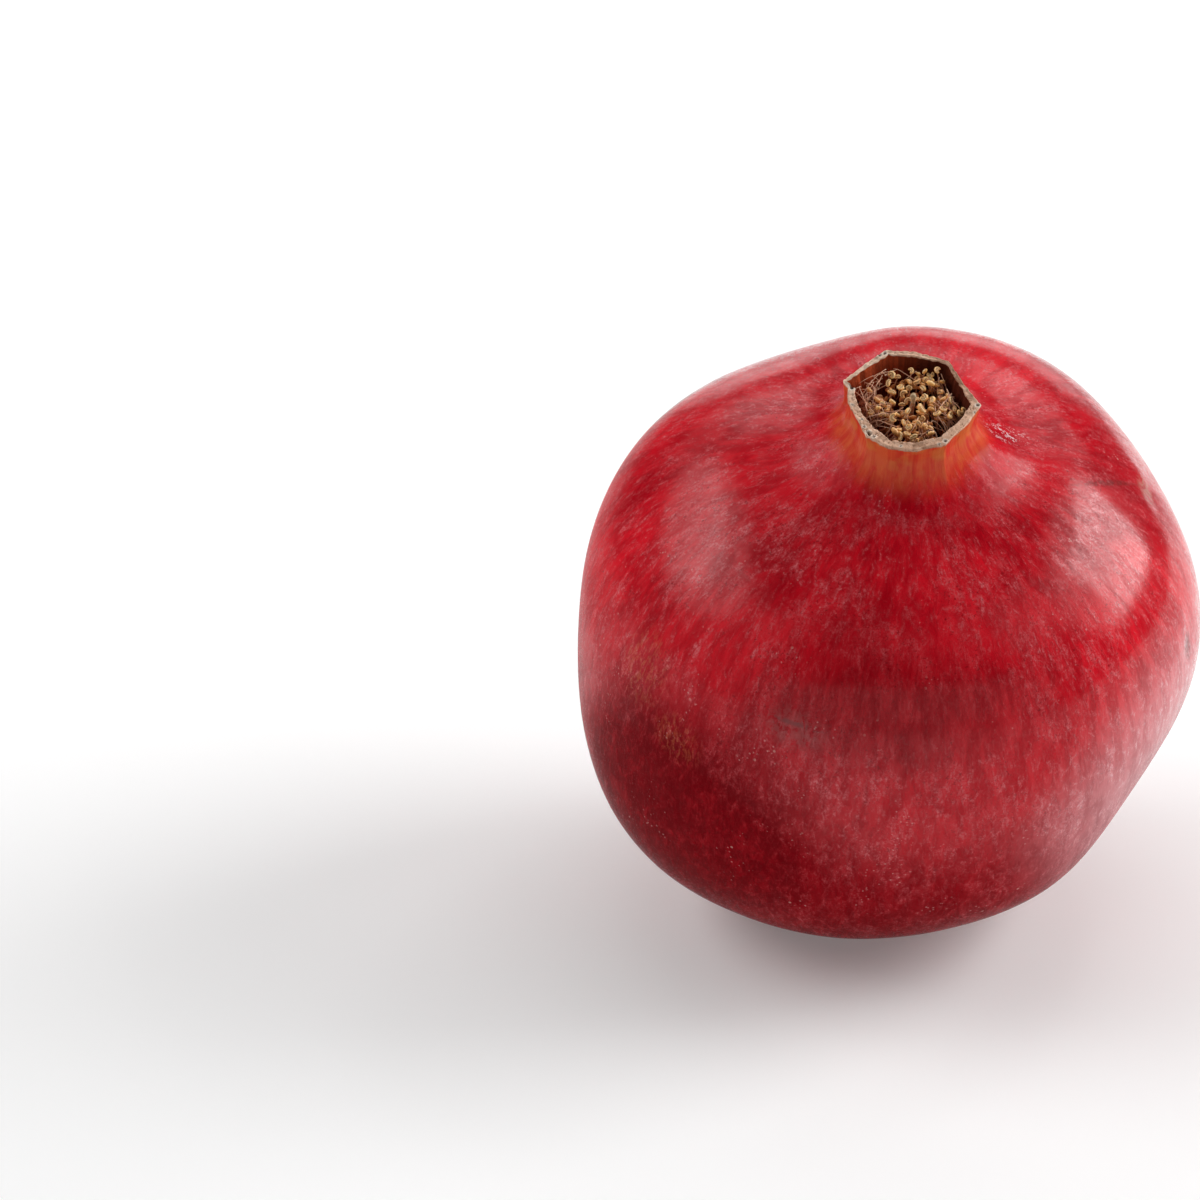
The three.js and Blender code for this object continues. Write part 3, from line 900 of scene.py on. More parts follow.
def rind_profile(rind):
    """From the stem end over the shoulder, up the crown, over its rim and down into the cup."""
    flare_start = Vector((FLARE_START_RADIUS, shoulder_height(FLARE_START_RADIUS, rind)))
    start_angle = math.atan2(flare_start.y, flare_start.x)
    count = round((start_angle + math.pi / 2) * BODY_REACH / BODY_STEP)
    points = [Vector((0, -rind.base_depth))]
    for i in range(1, count):
        points.append(on_body(-math.pi / 2 + (start_angle + math.pi / 2) * i / count, rind))
    points.append(flare_start)
    neck, height = rind.neck_radius, rind.rim_height
    inner = rind.rim_radius - rind.rim_thickness
    neck_base = Vector((neck, NECK_BASE_HEIGHT))
    points += bend(flare_start, Vector((neck, FLARE_HEIGHT)), neck_base, FLARE_STEP)
    rim_side = Vector((rind.rim_radius, height - RIM_EDGE))
    points += straight(neck_base, rim_side, WALL_STEP)
    rim_out = Vector((rind.rim_radius - RIM_EDGE, height))
    points += bend(rim_side, Vector((rind.rim_radius, height)), rim_out, RIM_STEP)
    rim_in = Vector((inner + RIM_EDGE, height))
    points += straight(rim_out, rim_in, RIM_STEP)
    cup_top = Vector((inner, height - RIM_EDGE))
    points += bend(rim_in, Vector((inner, height)), cup_top, RIM_STEP)
    narrows = Vector((rind.cup_radius, CUP_NARROWS_HEIGHT))
    points += straight(cup_top, narrows, WALL_STEP)
    floor = rind.cup_floor_height
    middle = Vector((rind.cup_radius, (CUP_NARROWS_HEIGHT + floor) / 2))
    foot = Vector((CUP_FLOOR_RADIUS, floor))
    points += straight(narrows, middle, CUP_STEP)
    points += bend(middle, Vector((rind.cup_radius, floor)), foot, CUP_STEP)
    points += straight(foot, Vector((0, floor)), FLOOR_STEP)
    return points


def press_cheeks(point):
    """Sinks the cheeks into the globe, towards its centre, and raises the swellings."""
    outward = point.normalized()
    moved = point.copy()
    for azimuth, latitude, depth, spread in CHEEKS:
        middle = polar(math.cos(math.radians(latitude)), azimuth, math.sin(math.radians(latitude)))
        away = math.degrees(math.acos(min(1.0, max(-1.0, outward.dot(middle)))))
        moved -= outward * (depth * MM * bell(away, spread))
    return moved


def shape_crown(point, rind):
    """Gives the round tube its corners, its uneven rim and its uneven wall."""
    radius = math.hypot(point.x, point.y)
    if radius < TINY or radius > FLARE_START_RADIUS or point.z < 0:
        return point.copy()
    azimuth = math.degrees(math.atan2(point.y, point.x))
    reach, thickness, rise = crown_at(azimuth)
    high = smooth(point.z, THINS_ABOVE, rind.rim_height - THINNEST_DEPTH)
    thinning = 1 + (thickness / rind.rim_thickness - 1) * high
    kept = radius
    if radius > STILL_WITHIN:
        kept = rind.rim_radius - (rind.rim_radius - radius) * thinning
    cornered = smooth(point.z, ROUND_BELOW, CORNERED_ABOVE)
    kept *= 1 + (reach / rind.rim_radius - 1) * cornered
    moved = point * (kept / radius)
    moved.z = point.z + rise * smooth(point.z, RISE_ABOVE, rind.rim_height)
    return moved


def is_in_cup(start, radius, rind):
    inner = rind.rim_radius - rind.rim_thickness
    beyond, under = CUP_SLACK
    return radius < inner + beyond and start.z > rind.cup_floor_height - under


def swell_skin(start, radius):
    """Soft swellings, shallow furrows from the crown to the stem end, and a pebbled feel."""
    outward, sideways = start.normalized(), sideways_of(start)
    dented = bell(math.degrees(outward.angle(DENTED_CHEEK)), DENT_SPREAD)
    along = unrolled(sideways, SKIN_RING, start.z * 0.3)
    swell = relief(start, *SWELLINGS) + relief(start, *PEBBLES) + relief(along, *FURROWS)
    swell += dented * (relief(start, *DENTED_PEBBLES) + relief(along, *DENTED_FURROWS))
    fades_in = CROWN_FADES_IN if start.z > 0 else STEM_FADES_IN
    moved = outward * (swell * smooth(radius, *fades_in))
    if radius < FLUTED_WITHIN and start.z > FLUTED_ABOVE:
        flutes = relief(unrolled(sideways, CROWN_RING, start.z * 0.25), *FLUTES)
        moved += sideways * (flutes * smooth(start.z, *FLUTES_FADE_IN))
    return moved


def roughen_cup(start):
    """Ridges down the cup's wall, and a lumpy floor."""
    sideways = sideways_of(start)
    ridges = relief(unrolled(sideways, CROWN_RING, start.z * 0.15), *CUP_RIDGES)
    moved = sideways * (ridges * smooth(start.z, *RIDGES_FADE_IN))
    moved.z = relief(start, *CUP_LUMPS) * (1 - smooth(start.z, *LUMPY_FLOOR_ENDS))
    return moved


def break_rim(start, radius, on_top, rind):
    """A rim dried to a rolled edge on both sides, cracked across, and crumbling at one corner."""
    high = smooth(start.z, ROUGH_ABOVE, rind.rim_height - ROUGHEST_DEPTH)
    if high == 0:
        return Vector()
    sideways = sideways_of(start)
    azimuth = math.degrees(math.atan2(start.y, start.x))
    from_corner = abs((azimuth - CRUMBLED_AT + 180) % 360 - 180)
    crumbling = 1 + CRUMBLED_MORE * bell(from_corner, CRUMBLED_SPREAD)
    round_crown = unrolled(sideways, CROWN_RING, start.z)
    rough = relief(round_crown, *CRUMBS) + relief(round_crown, *FINE_CRUMBS) * crumbling
    across = 1 + (radius - rind.rim_radius) / rind.rim_thickness
    rolled = math.sin(math.pi * min(max(across, 0.0), 1.0)) ** 2
    crack = smooth(abs(lumps(Vector((start.x, start.y, 0)), CRACK_SPACING)), CRACK_WIDTH, 0.0)
    moved = sideways * (relief(round_crown + SIDE_SHIFT, *SIDE_CRUMBS) * high)
    moved.z = rough * high - (ROLL_DEPTH * rolled + CRACK_DEPTH * crack * crumbling) * on_top
    return moved


def open_pores(point, on_top):
    """How small holes in the rim sink it and their lips raise it, and how much is hole and lip here."""
    rise, most_hole, most_lip = 0.0, 0.0, 0.0
    for azimuth, reach, size in PORES:
        middle = polar(reach * MM, azimuth, 0)
        away = math.hypot(point.x - middle.x, point.y - middle.y) / (size * MM)
        if away < PORE_REACH:
            hole = bell(away, PORE_WIDTH) * on_top
            lip = bell(away - PORE_LIP, PORE_LIP_WIDTH) * on_top
            rise += (PORE_LIP_RISE * lip - PORE_DEPTH * size * hole) * MM
            most_hole = max(most_hole, min(1.0, PORE_DARKNESS * hole))
            most_lip = max(most_lip, lip)
    return rise, most_hole, most_lip


def rest_on_floor(bm):
    """Flattens the underside softly where the fruit rests."""
    for vert in bm.verts:
        if vert.co.z < RESTS_BELOW:
            vert.co.z = (vert.co.z + math.hypot(vert.co.z, SIT_SOFTNESS)) / 2


def build_rind(rind):
    bm = bmesh.new()
    layers = {name: bm.verts.layers.float.new(name) for name in RIND_LAYERS}
    spin_profile(bm, rind_profile(rind), rind.turn_steps)
    top = rind.rim_height
    for vert in bm.verts:
        start = vert.co.copy()
        radius = math.hypot(start.x, start.y)
        inside = is_in_cup(start, radius, rind)
        on_top = smooth(start.z, top - FACE_STARTS_DEPTH, top - FACE_DEPTH)
        point = shape_crown(press_cheeks(start), rind)
        point += roughen_cup(start) if inside else swell_skin(start, radius)
        point += break_rim(start, radius, on_top, rind)
        rise, hole, lip = open_pores(point, on_top)
        point.z += rise
        vert.co = point
        dry_depth = CUP_DRY_DEPTH if inside else SIDE_DRY_DEPTH
        vert[layers["rim"]] = smooth(start.z, top - dry_depth, top - FACE_DEPTH)
        vert[layers["cup"]] = 1.0 if inside else 0.0
        vert[layers["neck"]] = 0.0 if inside else smooth(start.z, *NECK_FADES_IN)
        vert[layers["pore"]] = hole
        vert[layers["pore_ring"]] = lip
    settle(bm)
    rest_on_floor(bm)
    bmesh.ops.recalc_face_normals(bm, faces=bm.faces)
    return bm


# Each main stamen's tip: azimuth, how far from the axis, how high, and the length of its head.
STAMENS = (
    (89, 6.9, 52.0, 0.95),
    (80, 6.9, 51.5, 0.9),
    (72, 7.1, 52.0, 0.95),
    (114, 6.9, 51.6, 1.2),
    (124, 5.7, 51.4, 1.1),
    (58, 7.9, 52.4, 1.1),
    (55, 5.4, 51.8, 1.3),
    (91, 5.4, 51.2, 1.2),
    (79, 5.0, 51.8, 1.05),
    (133, 4.2, 51.0, 1.15),
    (110, 4.4, 51.2, 1.2),
    (64, 4.1, 51.3, 1.2),
    (109, 3.1, 50.9, 1.2),
    (40, 2.6, 51.5, 1.3),
    (15, 3.2, 51.8, 1.3),
    (18, 5.1, 51.4, 1.15),
    (13, 6.3, 51.2, 1.15),
    (0, 6.8, 51.0, 1.1),
    (-10, 7.7, 51.6, 1.5),
    (-9, 4.9, 51.6, 1.05),
    (-19, 6.3, 51.2, 1.15),
    (-24, 4.2, 51.6, 1.2),
    (-36, 1.9, 52.0, 1.5),
    (-56, 2.7, 50.9, 1.15),
    (-62, 6.3, 51.2, 1.15),
    (-66, 5.0, 51.6, 1.1),
    (-75, 3.9, 51.4, 1.2),
    (-88, 7.0, 51.6, 1.2),
    (-96, 4.5, 51.4, 1.1),
    (-106, 1.6, 51.6, 1.25),
    (-115, 6.1, 51.3, 1.4),
    (-136, 3.8, 51.4, 1.3),
    (-159, 4.7, 51.0, 1.0),
    (-171, 4.9, 51.5, 1.2),
    (172, 2.9, 51.8, 1.1),
)

# What the stamens' material reads from their meshes.
STAMEN_LAYERS = ("head", "hollow", "lip", "tone")

# Where the tangle of stamens leaves dark gaps: azimuths, and the least and most distance from the axis.
GAPS = (
    (96, 108, 6.4, 9),
    (130, 165, 5.2, 9),
    (20, 50, 6.0, 9),
    (-160, -120, 5.0, 9),
    (-56, -30, 4.6, 7.5),
    (-134, -112, 1.7, 3.2),
)

# Where loose filaments stand on the wall: azimuths and how many share a dozen of them.
LOOSE = ((150, 212, 4), (-42, 52, 5), (100, 146, 2), (-125, -60, 1))

# The style and the stem stub: steps round, and lumps in millimetres, how high and how long they are.
STYLE_TOP = 53 * MM
STYLE_STEPS = 28
STYLE_WRINKLES = (0.10, 0.7)
STYLE_SHIFT = Vector((3, 1, 0)) * MM
STYLE_LEAN = Vector((0.3, 0.9, 0)) * MM
STIGMA_LUMPS = (0.12, 0.5)
STEM_STEPS = 96
BARK_FURROWS = (0.14, 0.7)
BARK_KNOTS = (0.2, 1.8)
CUT_LUMPS = (0.3, 0.9)
CUT_RISE = 0.08 * MM

# How far each head is curled up: 0 is a split bean and 1 a closed ring.
CURLS = (0.0, 0.12, 0.3, 0.55, 0.7, 0.86, 0.95)
FILAMENT_SIDES = 6
FILAMENT_STEPS = 12
FILAMENT_TAPER = 0.35
MAIN_FINENESS = 12
TANGLE_FINENESS = 9

# A head's shape, as shares of its length: half its reach, half its thickness, how curling changes them,
# and how far a straight one sags.
HEAD_HALF, CURLED_HALF = 0.5, 0.36
HEAD_TUBE, CURLED_TUBE = 0.31, -0.10
HEAD_SAG = 0.12
# And as shares of its thickness: how plump and blunt curling makes it, its lumps, its split and its lips.
CURLED_PLUMPNESS = 0.35
BLUNTNESS = 0.3
HEAD_LUMPS = 0.22
SPLIT_DEPTH, SPLIT_WIDTH = 0.55, 0.27
LIP_PLACE, LIP_WIDTH = 0.62, 0.34
RING_CURL = 0.6  # heads curled further than this are hollow in the middle

# How stalks wobble and heads lean. Low heads and stalks are painted shaded, brown, and high ones painted
# lit, golden; each tone also varies at random.
WOBBLE = 0.34 * MM
WOBBLE_WAVES = 2.4
SHADE_TO_LIGHT_HEIGHTS = (49.2 * MM, 52.0 * MM)
TONE_SPREAD = (-0.45, 0.3)
STALK_TONE = 0.6

# The tangle: how far out and how high its tips stand, how far round and out their feet are, how far in they
# bow, and the least room between two tips. The feet follow the cup's floor up to its wall.
TANGLE_REACH = (0.9, 7.0)
TANGLE_HEIGHTS = (48.7, 51.6)
TANGLE_TURN = 22
TANGLE_SPREAD = (0.6, 3.0)
TANGLE_BOW = (0.85, 1.0)
TANGLE_LENGTHS = (0.9, 1.3)
FOOT_REACH = (4.5, 7.9)
FOOT_LOWEST, FOOT_RISE, FOOT_LUMPS = 42.6, 5.0, 0.8
TIP_ROOM = 0.86 * MM
MOST_TRIES = 60000

# Loose stalks: their feet on the wall, how far round, out and up they end, their bows and their curls.
LOOSE_WALL = 8.1
LOOSE_FEET = (45.5, 51.0)
LOOSE_TURN = 40
LOOSE_REACH = (3.4, 7.2)
LOOSE_HEIGHTS = (50.6, 52.6)
LOOSE_BOW_REACH = (6.0, 7.6)
LOOSE_BOW_LOWEST = 49
LOOSE_BOW_RISE = (0.4, 2.4)
LOOSE_CURL = 0.75 * MM
LOOSE_WAVES = (1.2, 2.6)
LOOSE_THICKNESS = (0.38, 0.62)
LOOSE_TONES = (0.35, 1.0)


def stand_of(radius):
    """A filament's foot and bow, by how far out its tip is: on the wall, at its foot or on the floor."""
    if radius > 6:
        return (7.7, 47.4), (7.7, 50.2)
    if radius > 3.5:
        return (6.4, 44.4), (radius + 0.9, 47.6)
    return (4.6, 42.7), (radius + 0.6, 45.0)


def in_cup(place, azimuth, rind):
    """Where a radius and a height in the round cup, in millimetres, come to lie in the cornered one."""
    radius, height = place
    return shape_crown(polar(radius * MM, azimuth, height * MM), rind)


def stalk_path(foot, bow, tip):
    """A stalk's bow from its foot to its tip, in about a dozen steps."""
    step = max((tip - foot).length / FILAMENT_STEPS, 0.3 * MM)
    return [foot] + bend(foot, bow, tip, step)


def add_filament(bm, layers, path, thickness, tone):
    """A thin, tapering stalk, drawn out ring by ring along its path."""
    ring = bmesh.ops.create_circle(
        bm, segments=FILAMENT_SIDES, radius=thickness / 2, cap_ends=False)["verts"]
    edges = list({edge for vert in ring for edge in vert.link_edges})
    first = list(edges)
    last_turn = Matrix.Identity(3)
    for i, point in enumerate(path):
        ahead = path[min(i + 1, len(path) - 1)] - path[max(i - 1, 0)]
        turn = (last_turn @ Vector((0, 0, 1))).rotation_difference(ahead).to_matrix() @ last_turn
        if i > 0:
            grown = bmesh.ops.extrude_edge_only(bm, edges=edges)["geom"]
            ring = [item for item in grown if isinstance(item, bmesh.types.BMVert)]
            edges = [item for item in grown if isinstance(item, bmesh.types.BMEdge)]
        width = thickness * (1 - FILAMENT_TAPER * i / (len(path) - 1)) / 2
        centre = sum((vert.co for vert in ring), Vector()) / FILAMENT_SIDES
        for vert in ring:
            local = last_turn.inverted() @ (vert.co - centre)
            vert.co = point + turn @ (local.normalized() * width)
            vert[layers["tone"]] = tone
        last_turn = turn
    bmesh.ops.contextual_create(bm, geom=first)
    bmesh.ops.contextual_create(bm, geom=edges)


def add_anther(bm, layers, tip, turn, length, curl, tone, chance, fineness):
    """A stamen's head: a split bean where the curl is 0, curled up to a closed ring where it is 1."""
    half = length * (HEAD_HALF + CURLED_HALF * curl)
    tube = length * (HEAD_TUBE + CURLED_TUBE * curl)
    shift = chance.uniform(0, 900)
    made = bmesh.ops.create_uvsphere(bm, u_segments=fineness, v_segments=fineness - 1, radius=1)["verts"]
    for vert in made:
        across, up, along = vert.co
        fullness = math.sqrt(max(0.0, 1 - along * along))
        plump = 1.0
        if fullness > 0.02:
            plump = (1 + CURLED_PLUMPNESS * curl) * fullness ** (-BLUNTNESS * curl)
        split = bell(across, SPLIT_WIDTH) * smooth(up, -0.1, 0.35) * smooth(abs(along), 0.98, 0.6)
        lip = bell(abs(across) - LIP_PLACE, LIP_WIDTH) * smooth(up, 0.0, 0.4)
        swell = 1 + HEAD_LUMPS * noise.noise(vert.co * 1.5 + Vector((shift, 0, 0)))
        x = across * tube * plump * swell
        z = (up * plump * swell - SPLIT_DEPTH * split) * tube
        if curl > 0:
            reach = half / (math.pi * curl)
            angle = along * math.pi * curl
            bent = (reach + x) * math.cos(angle) - reach * (1 - curl)
            local = Vector((bent, (reach + x) * math.sin(angle), z))
        else:
            local = Vector((x, along * half, z - HEAD_SAG * length * along * along))
        vert.co = tip + turn @ local
        vert[layers["head"]] = 1.0
        # Painted shade in a curled head's hole.
        inside = 0.5 * bell(across + 1, 0.6) if curl > RING_CURL else 0.0
        vert[layers["hollow"]] = min(1.0, split + inside)
        vert[layers["lip"]] = lip
        vert[layers["tone"]] = tone


def grow_stamen(bm, layers, foot, bow, tip, length, thickness, chance, fineness):
    """One whole stamen, with its own wobble, lean and shade."""
    path = stalk_path(foot, bow, tip)
    wobble = Vector((chance.uniform(-1, 1), chance.uniform(-1, 1), 0)) * WOBBLE
    for i, point in enumerate(path):
        share = i / (len(path) - 1)
        path[i] = point + wobble * math.sin(math.pi * share) * math.sin(WOBBLE_WAVES * math.pi * share)
    # Painted shade and light: heads low in the cup are browner, high ones golden, with a random spread.
    tone = min(1.0, max(0.0, smooth(tip.z, *SHADE_TO_LIGHT_HEIGHTS) + chance.uniform(*TONE_SPREAD)))
    add_filament(bm, layers, path, thickness * chance.uniform(0.75, 1.0), tone * STALK_TONE)
    nod = Matrix.Rotation(chance.uniform(-1.0, 1.0), 3, "X")
    lean = Matrix.Rotation(chance.uniform(-1.0, 1.0), 3, "Y")
    turn = Matrix.Rotation(chance.uniform(0, 2 * math.pi), 3, "Z") @ nod @ lean
    add_anther(bm, layers, tip, turn, length, chance.choice(CURLS), tone, chance, fineness)


def grow_loose(bm, layers, azimuth, rind, thickness, chance):
    """A fine stalk without a head: it leaves the wall and curls over the tangle."""
    foot_height = chance.uniform(*LOOSE_FEET)
    foot = in_cup((LOOSE_WALL, foot_height), azimuth, rind)
    end_azimuth = azimuth + chance.uniform(-LOOSE_TURN, LOOSE_TURN)
    end = in_cup((chance.uniform(*LOOSE_REACH), chance.uniform(*LOOSE_HEIGHTS)), end_azimuth, rind)
    bow_radius = chance.uniform(*LOOSE_BOW_REACH)
    bow_height = max(foot_height, LOOSE_BOW_LOWEST) + chance.uniform(*LOOSE_BOW_RISE)
    bow = in_cup((bow_radius, bow_height), azimuth, rind)
    path = stalk_path(foot, bow, end)
    curl = Vector((chance.uniform(-1, 1), chance.uniform(-1, 1), chance.uniform(-0.6, 0.6))) * LOOSE_CURL
    waves = chance.uniform(*LOOSE_WAVES)
    for i, point in enumerate(path):
        share = i / (len(path) - 1)
        path[i] = point + curl * share * math.sin(waves * math.pi * share)
    finer = thickness * chance.uniform(*LOOSE_THICKNESS)
    add_filament(bm, layers, path, finer, chance.uniform(*LOOSE_TONES))


def new_stamen_mesh():
    bm = bmesh.new()
    return bm, {name: bm.verts.layers.float.new(name) for name in STAMEN_LAYERS}


def in_gap(azimuth, radius):
    return any(low < azimuth < high and least < radius < most for low, high, least, most in GAPS)


class POMEGRANATE_OT_rind(bpy.types.Operator):
    """Builds the rind, with its crown and cup, as one closed skin"""

    bl_idname = "pomegranate.rind"
    bl_label = "Rind and crown"

    def execute(self, context):
        rind = context.scene.pomegranate_rind
        bm = build_rind(rind)
        finish_piece(bm, "rind", skin_material(rind), ["rind_with_crown"])
        return {"FINISHED"}


class POMEGRANATE_OT_stamens(bpy.types.Operator):
    """Grows the main stamens, one piece each"""

    bl_idname = "pomegranate.stamens"
    bl_label = "Main stamens"

    def execute(self, context):
        rind, flower = context.scene.pomegranate_rind, context.scene.pomegranate_flower
        material = stamen_material(flower)
        chance = random.Random(flower.seed)
        for number, (azimuth, radius, height, length) in enumerate(STAMENS, start=1):
            bm, layers = new_stamen_mesh()
            foot, bow = (in_cup(place, azimuth, rind) for place in stand_of(radius))
            tip = polar(radius * MM, azimuth, height * MM)
            diameter = flower.filament_diameter
            grow_stamen(bm, layers, foot, bow, tip, length * MM, diameter, chance, MAIN_FINENESS)
            settle(bm)
            node = f"stamen_{number:02d}"
            finish_piece(bm, f"dried_{node}", material, [node])
        return {"FINISHED"}


class POMEGRANATE_OT_more_stamens(bpy.types.Operator):
    """Fills the cup with a tangle of further stamens, in three pieces"""

    bl_idname = "pomegranate.more_stamens"
    bl_label = "Tangle of stamens"

    def find_tip(self, chance, tips, rind):
        """A free place for one more head, away from the others and from the dark gaps."""
        least, most = TANGLE_REACH
        for _ in range(MOST_TRIES):
            azimuth = chance.uniform(-180, 180)
            radius = most * math.sqrt(chance.random())
            height = chance.uniform(*TANGLE_HEIGHTS)
            if radius < least or in_gap(azimuth, radius):
                continue
            tip = in_cup((radius, height), azimuth, rind)
            if min((tip - other).length for other in tips) >= TIP_ROOM:
                return azimuth, radius, height, tip
        raise RuntimeError("the cup has no room for so many stamens")

    def execute(self, context):
        rind, flower = context.scene.pomegranate_rind, context.scene.pomegranate_flower
        material = bpy.data.materials["pomegranate_stamens"]
        diameter = flower.filament_diameter
        chance = random.Random(flower.seed + 1)
        tips = [polar(radius * MM, azimuth, height * MM) for azimuth, radius, height, _ in STAMENS]
        meshes = [new_stamen_mesh() for _ in range(3)]
        for number in range(flower.more):
            azimuth, radius, height, tip = self.find_tip(chance, tips, rind)
            tips.append(tip)
            from_azimuth = azimuth + chance.uniform(-TANGLE_TURN, TANGLE_TURN)
            foot_radius = min(FOOT_REACH[1], radius + chance.uniform(*TANGLE_SPREAD))
            foot_height = FOOT_LOWEST + FOOT_RISE * smooth(foot_radius, *FOOT_REACH)
            foot_height += chance.uniform(0, FOOT_LUMPS)
            foot = in_cup((foot_radius, foot_height), from_azimuth, rind)
            bow_radius = foot_radius * chance.uniform(*TANGLE_BOW)
            bow_height = foot_height + 0.55 * (height - foot_height)
            bow = in_cup((bow_radius, bow_height), from_azimuth, rind)
            length = chance.uniform(*TANGLE_LENGTHS) * MM
            bm, layers = meshes[number % 2]
            grow_stamen(bm, layers, foot, bow, tip, length, diameter, chance, TANGLE_FINENESS)
        sides = [side for side in LOOSE for _ in range(side[2])]
        bm, layers = meshes[2]
        for number in range(flower.loose):
            low, high, _ = sides[number % len(sides)]
            grow_loose(bm, layers, chance.uniform(low, high), rind, diameter, chance)
        for number, (bm, _) in enumerate(meshes, start=1):
            settle(bm)
            finish_piece(bm, f"stamen_tangle_{number}", material)
        return {"FINISHED"}


class POMEGRANATE_OT_style(bpy.types.Operator):
    """Turns the dried style with its knob"""

    bl_idname = "pomegranate.style"
    bl_label = "Style"

    def execute(self, context):
        rind, flower = context.scene.pomegranate_rind, context.scene.pomegranate_flower
        foot, top = rind.cup_floor_height + 0.3 * MM, STYLE_TOP
        stalk, knob = flower.style_radius, flower.stigma_radius
        points = [Vector((0, foot)), Vector((stalk * 1.6, foot))]
        ankle = Vector((stalk, foot + 2.5 * MM))
        points += bend(points[-1], Vector((stalk, foot + 1 * MM)), ankle, 0.3 * MM)
        throat = Vector((stalk * 0.85, top - 2.2 * knob))
        points += straight(ankle, throat, 0.4 * MM)
        widest = Vector((knob, top - 0.8 * knob))
        points += bend(throat, Vector((knob * 1.15, top - 1.6 * knob)), widest, 0.12 * MM)
        points += bend(widest, Vector((knob * 0.9, top)), Vector((0, top)), 0.12 * MM)
        bm = bmesh.new()
        spin_profile(bm, points, STYLE_STEPS)
        for vert in bm.verts:
            if math.hypot(vert.co.x, vert.co.y) > 0.05 * MM:
                vert.co += sideways_of(vert.co) * relief(vert.co, *STYLE_WRINKLES)
            knobbly = relief(vert.co + STYLE_SHIFT, *STIGMA_LUMPS)
            vert.co.z += knobbly * smooth(vert.co.z, top - 1.2 * MM, top)
            vert.co += STYLE_LEAN * smooth(vert.co.z, foot, top) ** 2
        settle(bm)
        finish_piece(bm, "dried_style", style_material(flower), ["style"])
        return {"FINISHED"}


class POMEGRANATE_OT_stem(bpy.types.Operator):
    """Turns the stem's woody stub, with its bark and its cut"""

    bl_idname = "pomegranate.stem"
    bl_label = "Stem stub"

    def execute(self, context):
        rind, stem = context.scene.pomegranate_rind, context.scene.pomegranate_stem
        top = press_cheeks(Vector((0, 0, -rind.base_depth))).z - 0.3 * MM
        low, wide = top - stem.length, stem.radius
        cut_rim = Vector((wide * 0.8, low))
        points = [Vector((0, low))] + straight(Vector((0, low)), cut_rim, 0.25 * MM)
        side = Vector((wide, low + 0.5 * MM))
        points += bend(cut_rim, Vector((wide, low)), side, 0.15 * MM)
        waist = Vector((wide * 0.9, (low + top) / 2))
        points += straight(side, waist, 0.2 * MM)
        collar = Vector((stem.collar_radius, top - 1.3 * MM))
        points += bend(waist, Vector((wide * 0.95, collar.y - 0.5 * MM)), collar, 0.2 * MM)
        points += bend(collar, Vector((stem.collar_radius, top - 0.6 * MM)), Vector((0, top)), 0.25 * MM)
        bm = bmesh.new()
        cut = bm.verts.layers.float.new("cut")
        spin_profile(bm, points, STEM_STEPS)
        for vert in bm.verts:
            start = vert.co.copy()
            vert[cut] = smooth(start.z, low + 0.15 * MM, low + 0.02 * MM)
            if math.hypot(start.x, start.y) > 0.4 * MM:
                along = Vector((start.x, start.y, start.z * 0.3))
                vert.co += sideways_of(start) * (relief(along, *BARK_FURROWS) + relief(start, *BARK_KNOTS))
            on_cut = smooth(start.z, low + 0.5 * MM, low)
            vert.co.z += (relief(start, *CUT_LUMPS) + CUT_RISE) * on_cut
        settle(bm)
        finish_piece(bm, "stem_end", stem_material(stem), ["stem_stub"])
        return {"FINISHED"}


# The lights: name, the setting that dims it, azimuth (0 is the camera's side, and positive its right),
# elevation, distance, width and height in metres, brightness and shape.
LIGHTS = (
    ("left_softbox", "side_light", -108, 36, 1.25, 0.9, 0.55, 2.1, "ELLIPSE"),
    ("left_haze", "side_light", -100, 37, 1.3, 1.35, 0.85, 1.3, "ELLIPSE"),
    ("left_wall", "side_light", -80, 20, 1.6, 2.2, 1.6, 0.25, "RECTANGLE"),
    ("right_softbox", "side_light", 105, 28, 1.25, 0.7, 0.72, 6.6, "RECTANGLE"),
    ("right_haze", "side_light", 98, 32, 1.3, 1.15, 0.95, 1.25, "ELLIPSE"),
    ("right_front_fill", "side_light", 62, 38, 1.25, 0.7, 0.6, 0.6, "RECTANGLE"),
    ("right_back_fill", "side_light", 146, 38, 1.25, 0.5, 0.4, 1.1, "RECTANGLE"),
    ("left_back_fill", "side_light", -148, 34, 1.25, 0.6, 0.5, 0.6, "RECTANGLE"),
    ("back_panel", "back_light", 176, 8, 1.9, 1.5, 0.5, 1.1, "RECTANGLE"),
    ("high_back_panel", "back_light", 180, 42, 1.5, 1.3, 0.6, 1.1, "RECTANGLE"),
    ("overhead_panel", None, 180, 76, 1.5, 1.3, 0.8, 1.3, "RECTANGLE"),
    ("low_front_card", None, 4, 10, 1.3, 3.1, 0.46, 0.6, "RECTANGLE"),
    ("small_spark", None, 143, 48, 1.3, 0.16, 0.16, 6.0, "RECTANGLE"),
)
LIT_POINT = Vector((0, 0, 45)) * MM  # what every light faces
CAMERA_AIM = Vector((-45.23, 2.79, 48.42)) * MM
CAMERA_RISE = math.radians(26)


def softbox(name, azimuth, elevation, distance, width, height, brightness, shape):
    """A soft light that faces the fruit."""
    data = bpy.data.lights.new(name, "AREA")
    data.shape = shape
    data.size = width
    data.size_y = height
    data.energy = brightness * math.pi * width * height
    light = bpy.data.objects.new(name, data)
    bpy.context.scene.collection.objects.link(light)
    turn, rise = math.radians(azimuth), math.radians(elevation)
    back = Vector((math.sin(turn) * math.cos(rise), -math.cos(turn) * math.cos(rise), math.sin(rise)))
    light.location = LIT_POINT + back * distance
    light.rotation_euler = back.to_track_quat("Z", "Y").to_euler()


